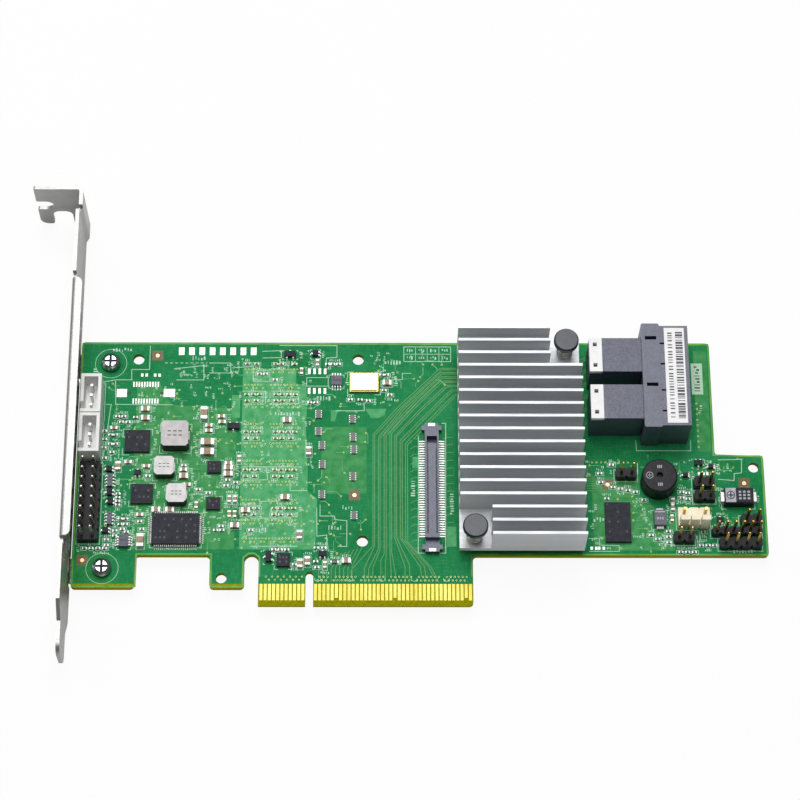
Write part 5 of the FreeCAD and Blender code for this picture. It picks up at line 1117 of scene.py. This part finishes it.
def parallel_run(x, y):
    """A group of evenly spaced traces that share one 45-degree bend."""
    heading = math.radians(draw.choice((0, 90, 180, 270)))
    side = draw.choice((-1, 1))
    turned = heading + side * math.radians(45)
    first = draw.uniform(2.5, 8.0)
    second = draw.uniform(1.5, 6.0)
    paths = []
    for i in range(draw.choice((2, 3, 4, 5, 6))):
        shift = i * TRACK_PITCH
        reach = first - side * shift * math.tan(math.radians(22.5))
        start = (x - shift * math.sin(heading), y + shift * math.cos(heading))
        bend = step_from(start, reach, heading)
        paths.append([start, bend, step_from(bend, second, turned)])
    return paths


def along(path, step=0.3):
    """Points along a path, close enough together that no hole or edge is stepped over."""
    for (x0, y0), (x1, y1) in zip(path, path[1:]):
        count = max(1, math.ceil(math.hypot(x1 - x0, y1 - y0) / step))
        for i in range(count + 1):
            yield x0 + (x1 - x0) * i / count, y0 + (y1 - y0) * i / count


def back_side():
    """Print, traces, vias and solder joints on the back."""
    traces, rings, silk, marks = (Print(layer, back=True)
                                  for layer in ("trace", "plating", "silk", "mark"))
    chips = solids("memory_chips")
    small = solids("back_capacitors")
    tails = solids("solder_tails")
    standing = chips + small + tails
    for _ in range(BACK_GROUPS):
        for path in parallel_run(draw.uniform(-54, 108), draw.uniform(14, 67)):
            if all(on_board(x, y) and clear_of(standing, x, y, 0.4) for x, y in along(path)):
                traces.line(path, 0.15)
                rings.disc(*path[0], 0.22)
                rings.disc(*path[-1], 0.22)
    for x0, y0, _, x1, y1, _ in chips:
        silk.frame(x0 - 0.5, y0 - 0.5, x1 + 0.5, y1 + 0.5, 0.18)
        marks.disc(x0 - 1.1, y1 - 0.6, 0.3, 12)
        marks.dashes(x1 + 1.6, (y0 + y1) / 2, 4, 1.0, True)
    for x0, y0, _, x1, y1, _ in small:
        silk.frame(x0 - 0.3, y0 - 0.3, x1 + 0.3, y1 + 0.3, 0.12)
    traces.make("back_traces", "trace", "green_laminate")
    rings.make("back_via_rings", "via", "gold_plate")
    silk.make("back_silk_lines", "silk", "green_laminate")
    marks.make("back_silk_marks", "silk", "green_laminate")
    joints = Pile()
    for box in tails:
        half = (box[3] - box[0]) / 2 + 0.04
        neck, foot = (in_metres(circle(*middle_of(box), radius, 14)) for radius in (half * 1.3, 0.85))
        joints.taper(neck, foot, BACK - 0.55 * MM, BACK + 0.004 * MM)
    joints.make("back_joints", "solder", "tin_plate")


# ---- room, light and camera

FLOOR_REACH = 3.0
FLOOR_GAP = 0.02 * MM
WHITE_SHARE = 0.93  # of what the camera sees of the floor
SURROUND = 0.17
AIM = Vector((0.022, 0.045, 0.0))
LAMPS = [("key", (0.0, 0.47, 0.9), 0.5, 5.0), ("side", (-0.6, 0.3, 0.8), 0.5, 1.6),
         ("top", (0.03, 0.06, 1.1), 0.4, 3.0)]  # name, place, width in metres, watts


def floor_material():
    """Pale matt paper; the camera sees it mostly as plain white, with the card's shadow kept soft."""
    paper = surface("pale_floor", (244, 244, 244), (250, 250, 250), rough=(0.8, 0.9), patch=20.0,
                    grain=100.0, relief=0.0, specular=0.1)
    tree = paper.node_tree
    seen = add_node(tree, "LightPath").outputs["Is Camera Ray"]
    white = add_node(tree, "Emission", Color=(1.0, 1.0, 1.0, 1.0))
    blend = add_node(tree, "MixShader", Fac=calculate(tree, "MULTIPLY", seen, WHITE_SHARE))
    feed(blend.inputs[1], tree.nodes["Principled BSDF"].outputs["BSDF"])
    feed(blend.inputs[2], white.outputs["Emission"])
    feed(tree.nodes["Material Output"].inputs["Surface"], blend.outputs["Shader"])
    return paper


def room():
    """A pale floor, three soft lamps from above and a dim even surround."""
    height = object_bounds()[0][2] - FLOOR_GAP
    mesh = bpy.data.meshes.new("floor")
    mesh.from_pydata([(x * FLOOR_REACH, y * FLOOR_REACH, height) for x, y in CORNERS], [],
                     [(0, 1, 2, 3)])
    floor = new_object("floor", mesh)
    mesh.materials.append(floor_material())
    world = bpy.data.worlds.new("studio")
    bpy.context.scene.world = world
    world.use_nodes = True
    set_inputs(world.node_tree.nodes["Background"], Color=(1.0, 1.0, 1.0, 1.0), Strength=SURROUND)
    for name, place, width, power in LAMPS:
        lamp = bpy.data.lights.new(name, "AREA")
        lamp.size = width
        lamp.energy = power
        holder = new_object(name, lamp)
        holder.location = place
        holder.rotation_euler = (AIM - Vector(place)).to_track_quat("-Z", "Y").to_euler()


def camera():
    """A long lens over the card's lower edge, tilted back a little from straight above."""
    eye = bpy.data.cameras.new("camera")
    eye.lens = 118.8
    eye.sensor_width = 36.0
    eye.clip_start = 0.01
    eye.clip_end = 20.0
    holder = new_object("camera", eye)
    right = Vector((0.99994, -0.00261, 0.01056))
    up = Vector((-0.00181, 0.91723, 0.39836))
    back = Vector((-0.01072, -0.39835, 0.91717))
    turn = Matrix((right, up, back)).transposed().to_4x4()
    holder.matrix_world = Matrix.Translation(Vector((14.84, -205.63, 596.43)) * MM) @ turn
    bpy.context.scene.camera = holder


pours()
rim()
routed_layers()
fiducials()
empty_pads()
end_fillets()
lead_pads()
screen_print()
port_label_print()
board_label_print()
buzzer_marks()
capacitor_marks()
package_marks()
screw_recess_shade()
springs()
back_side()
room()
camera()
bpy.context.scene.view_settings.view_transform = "Standard"
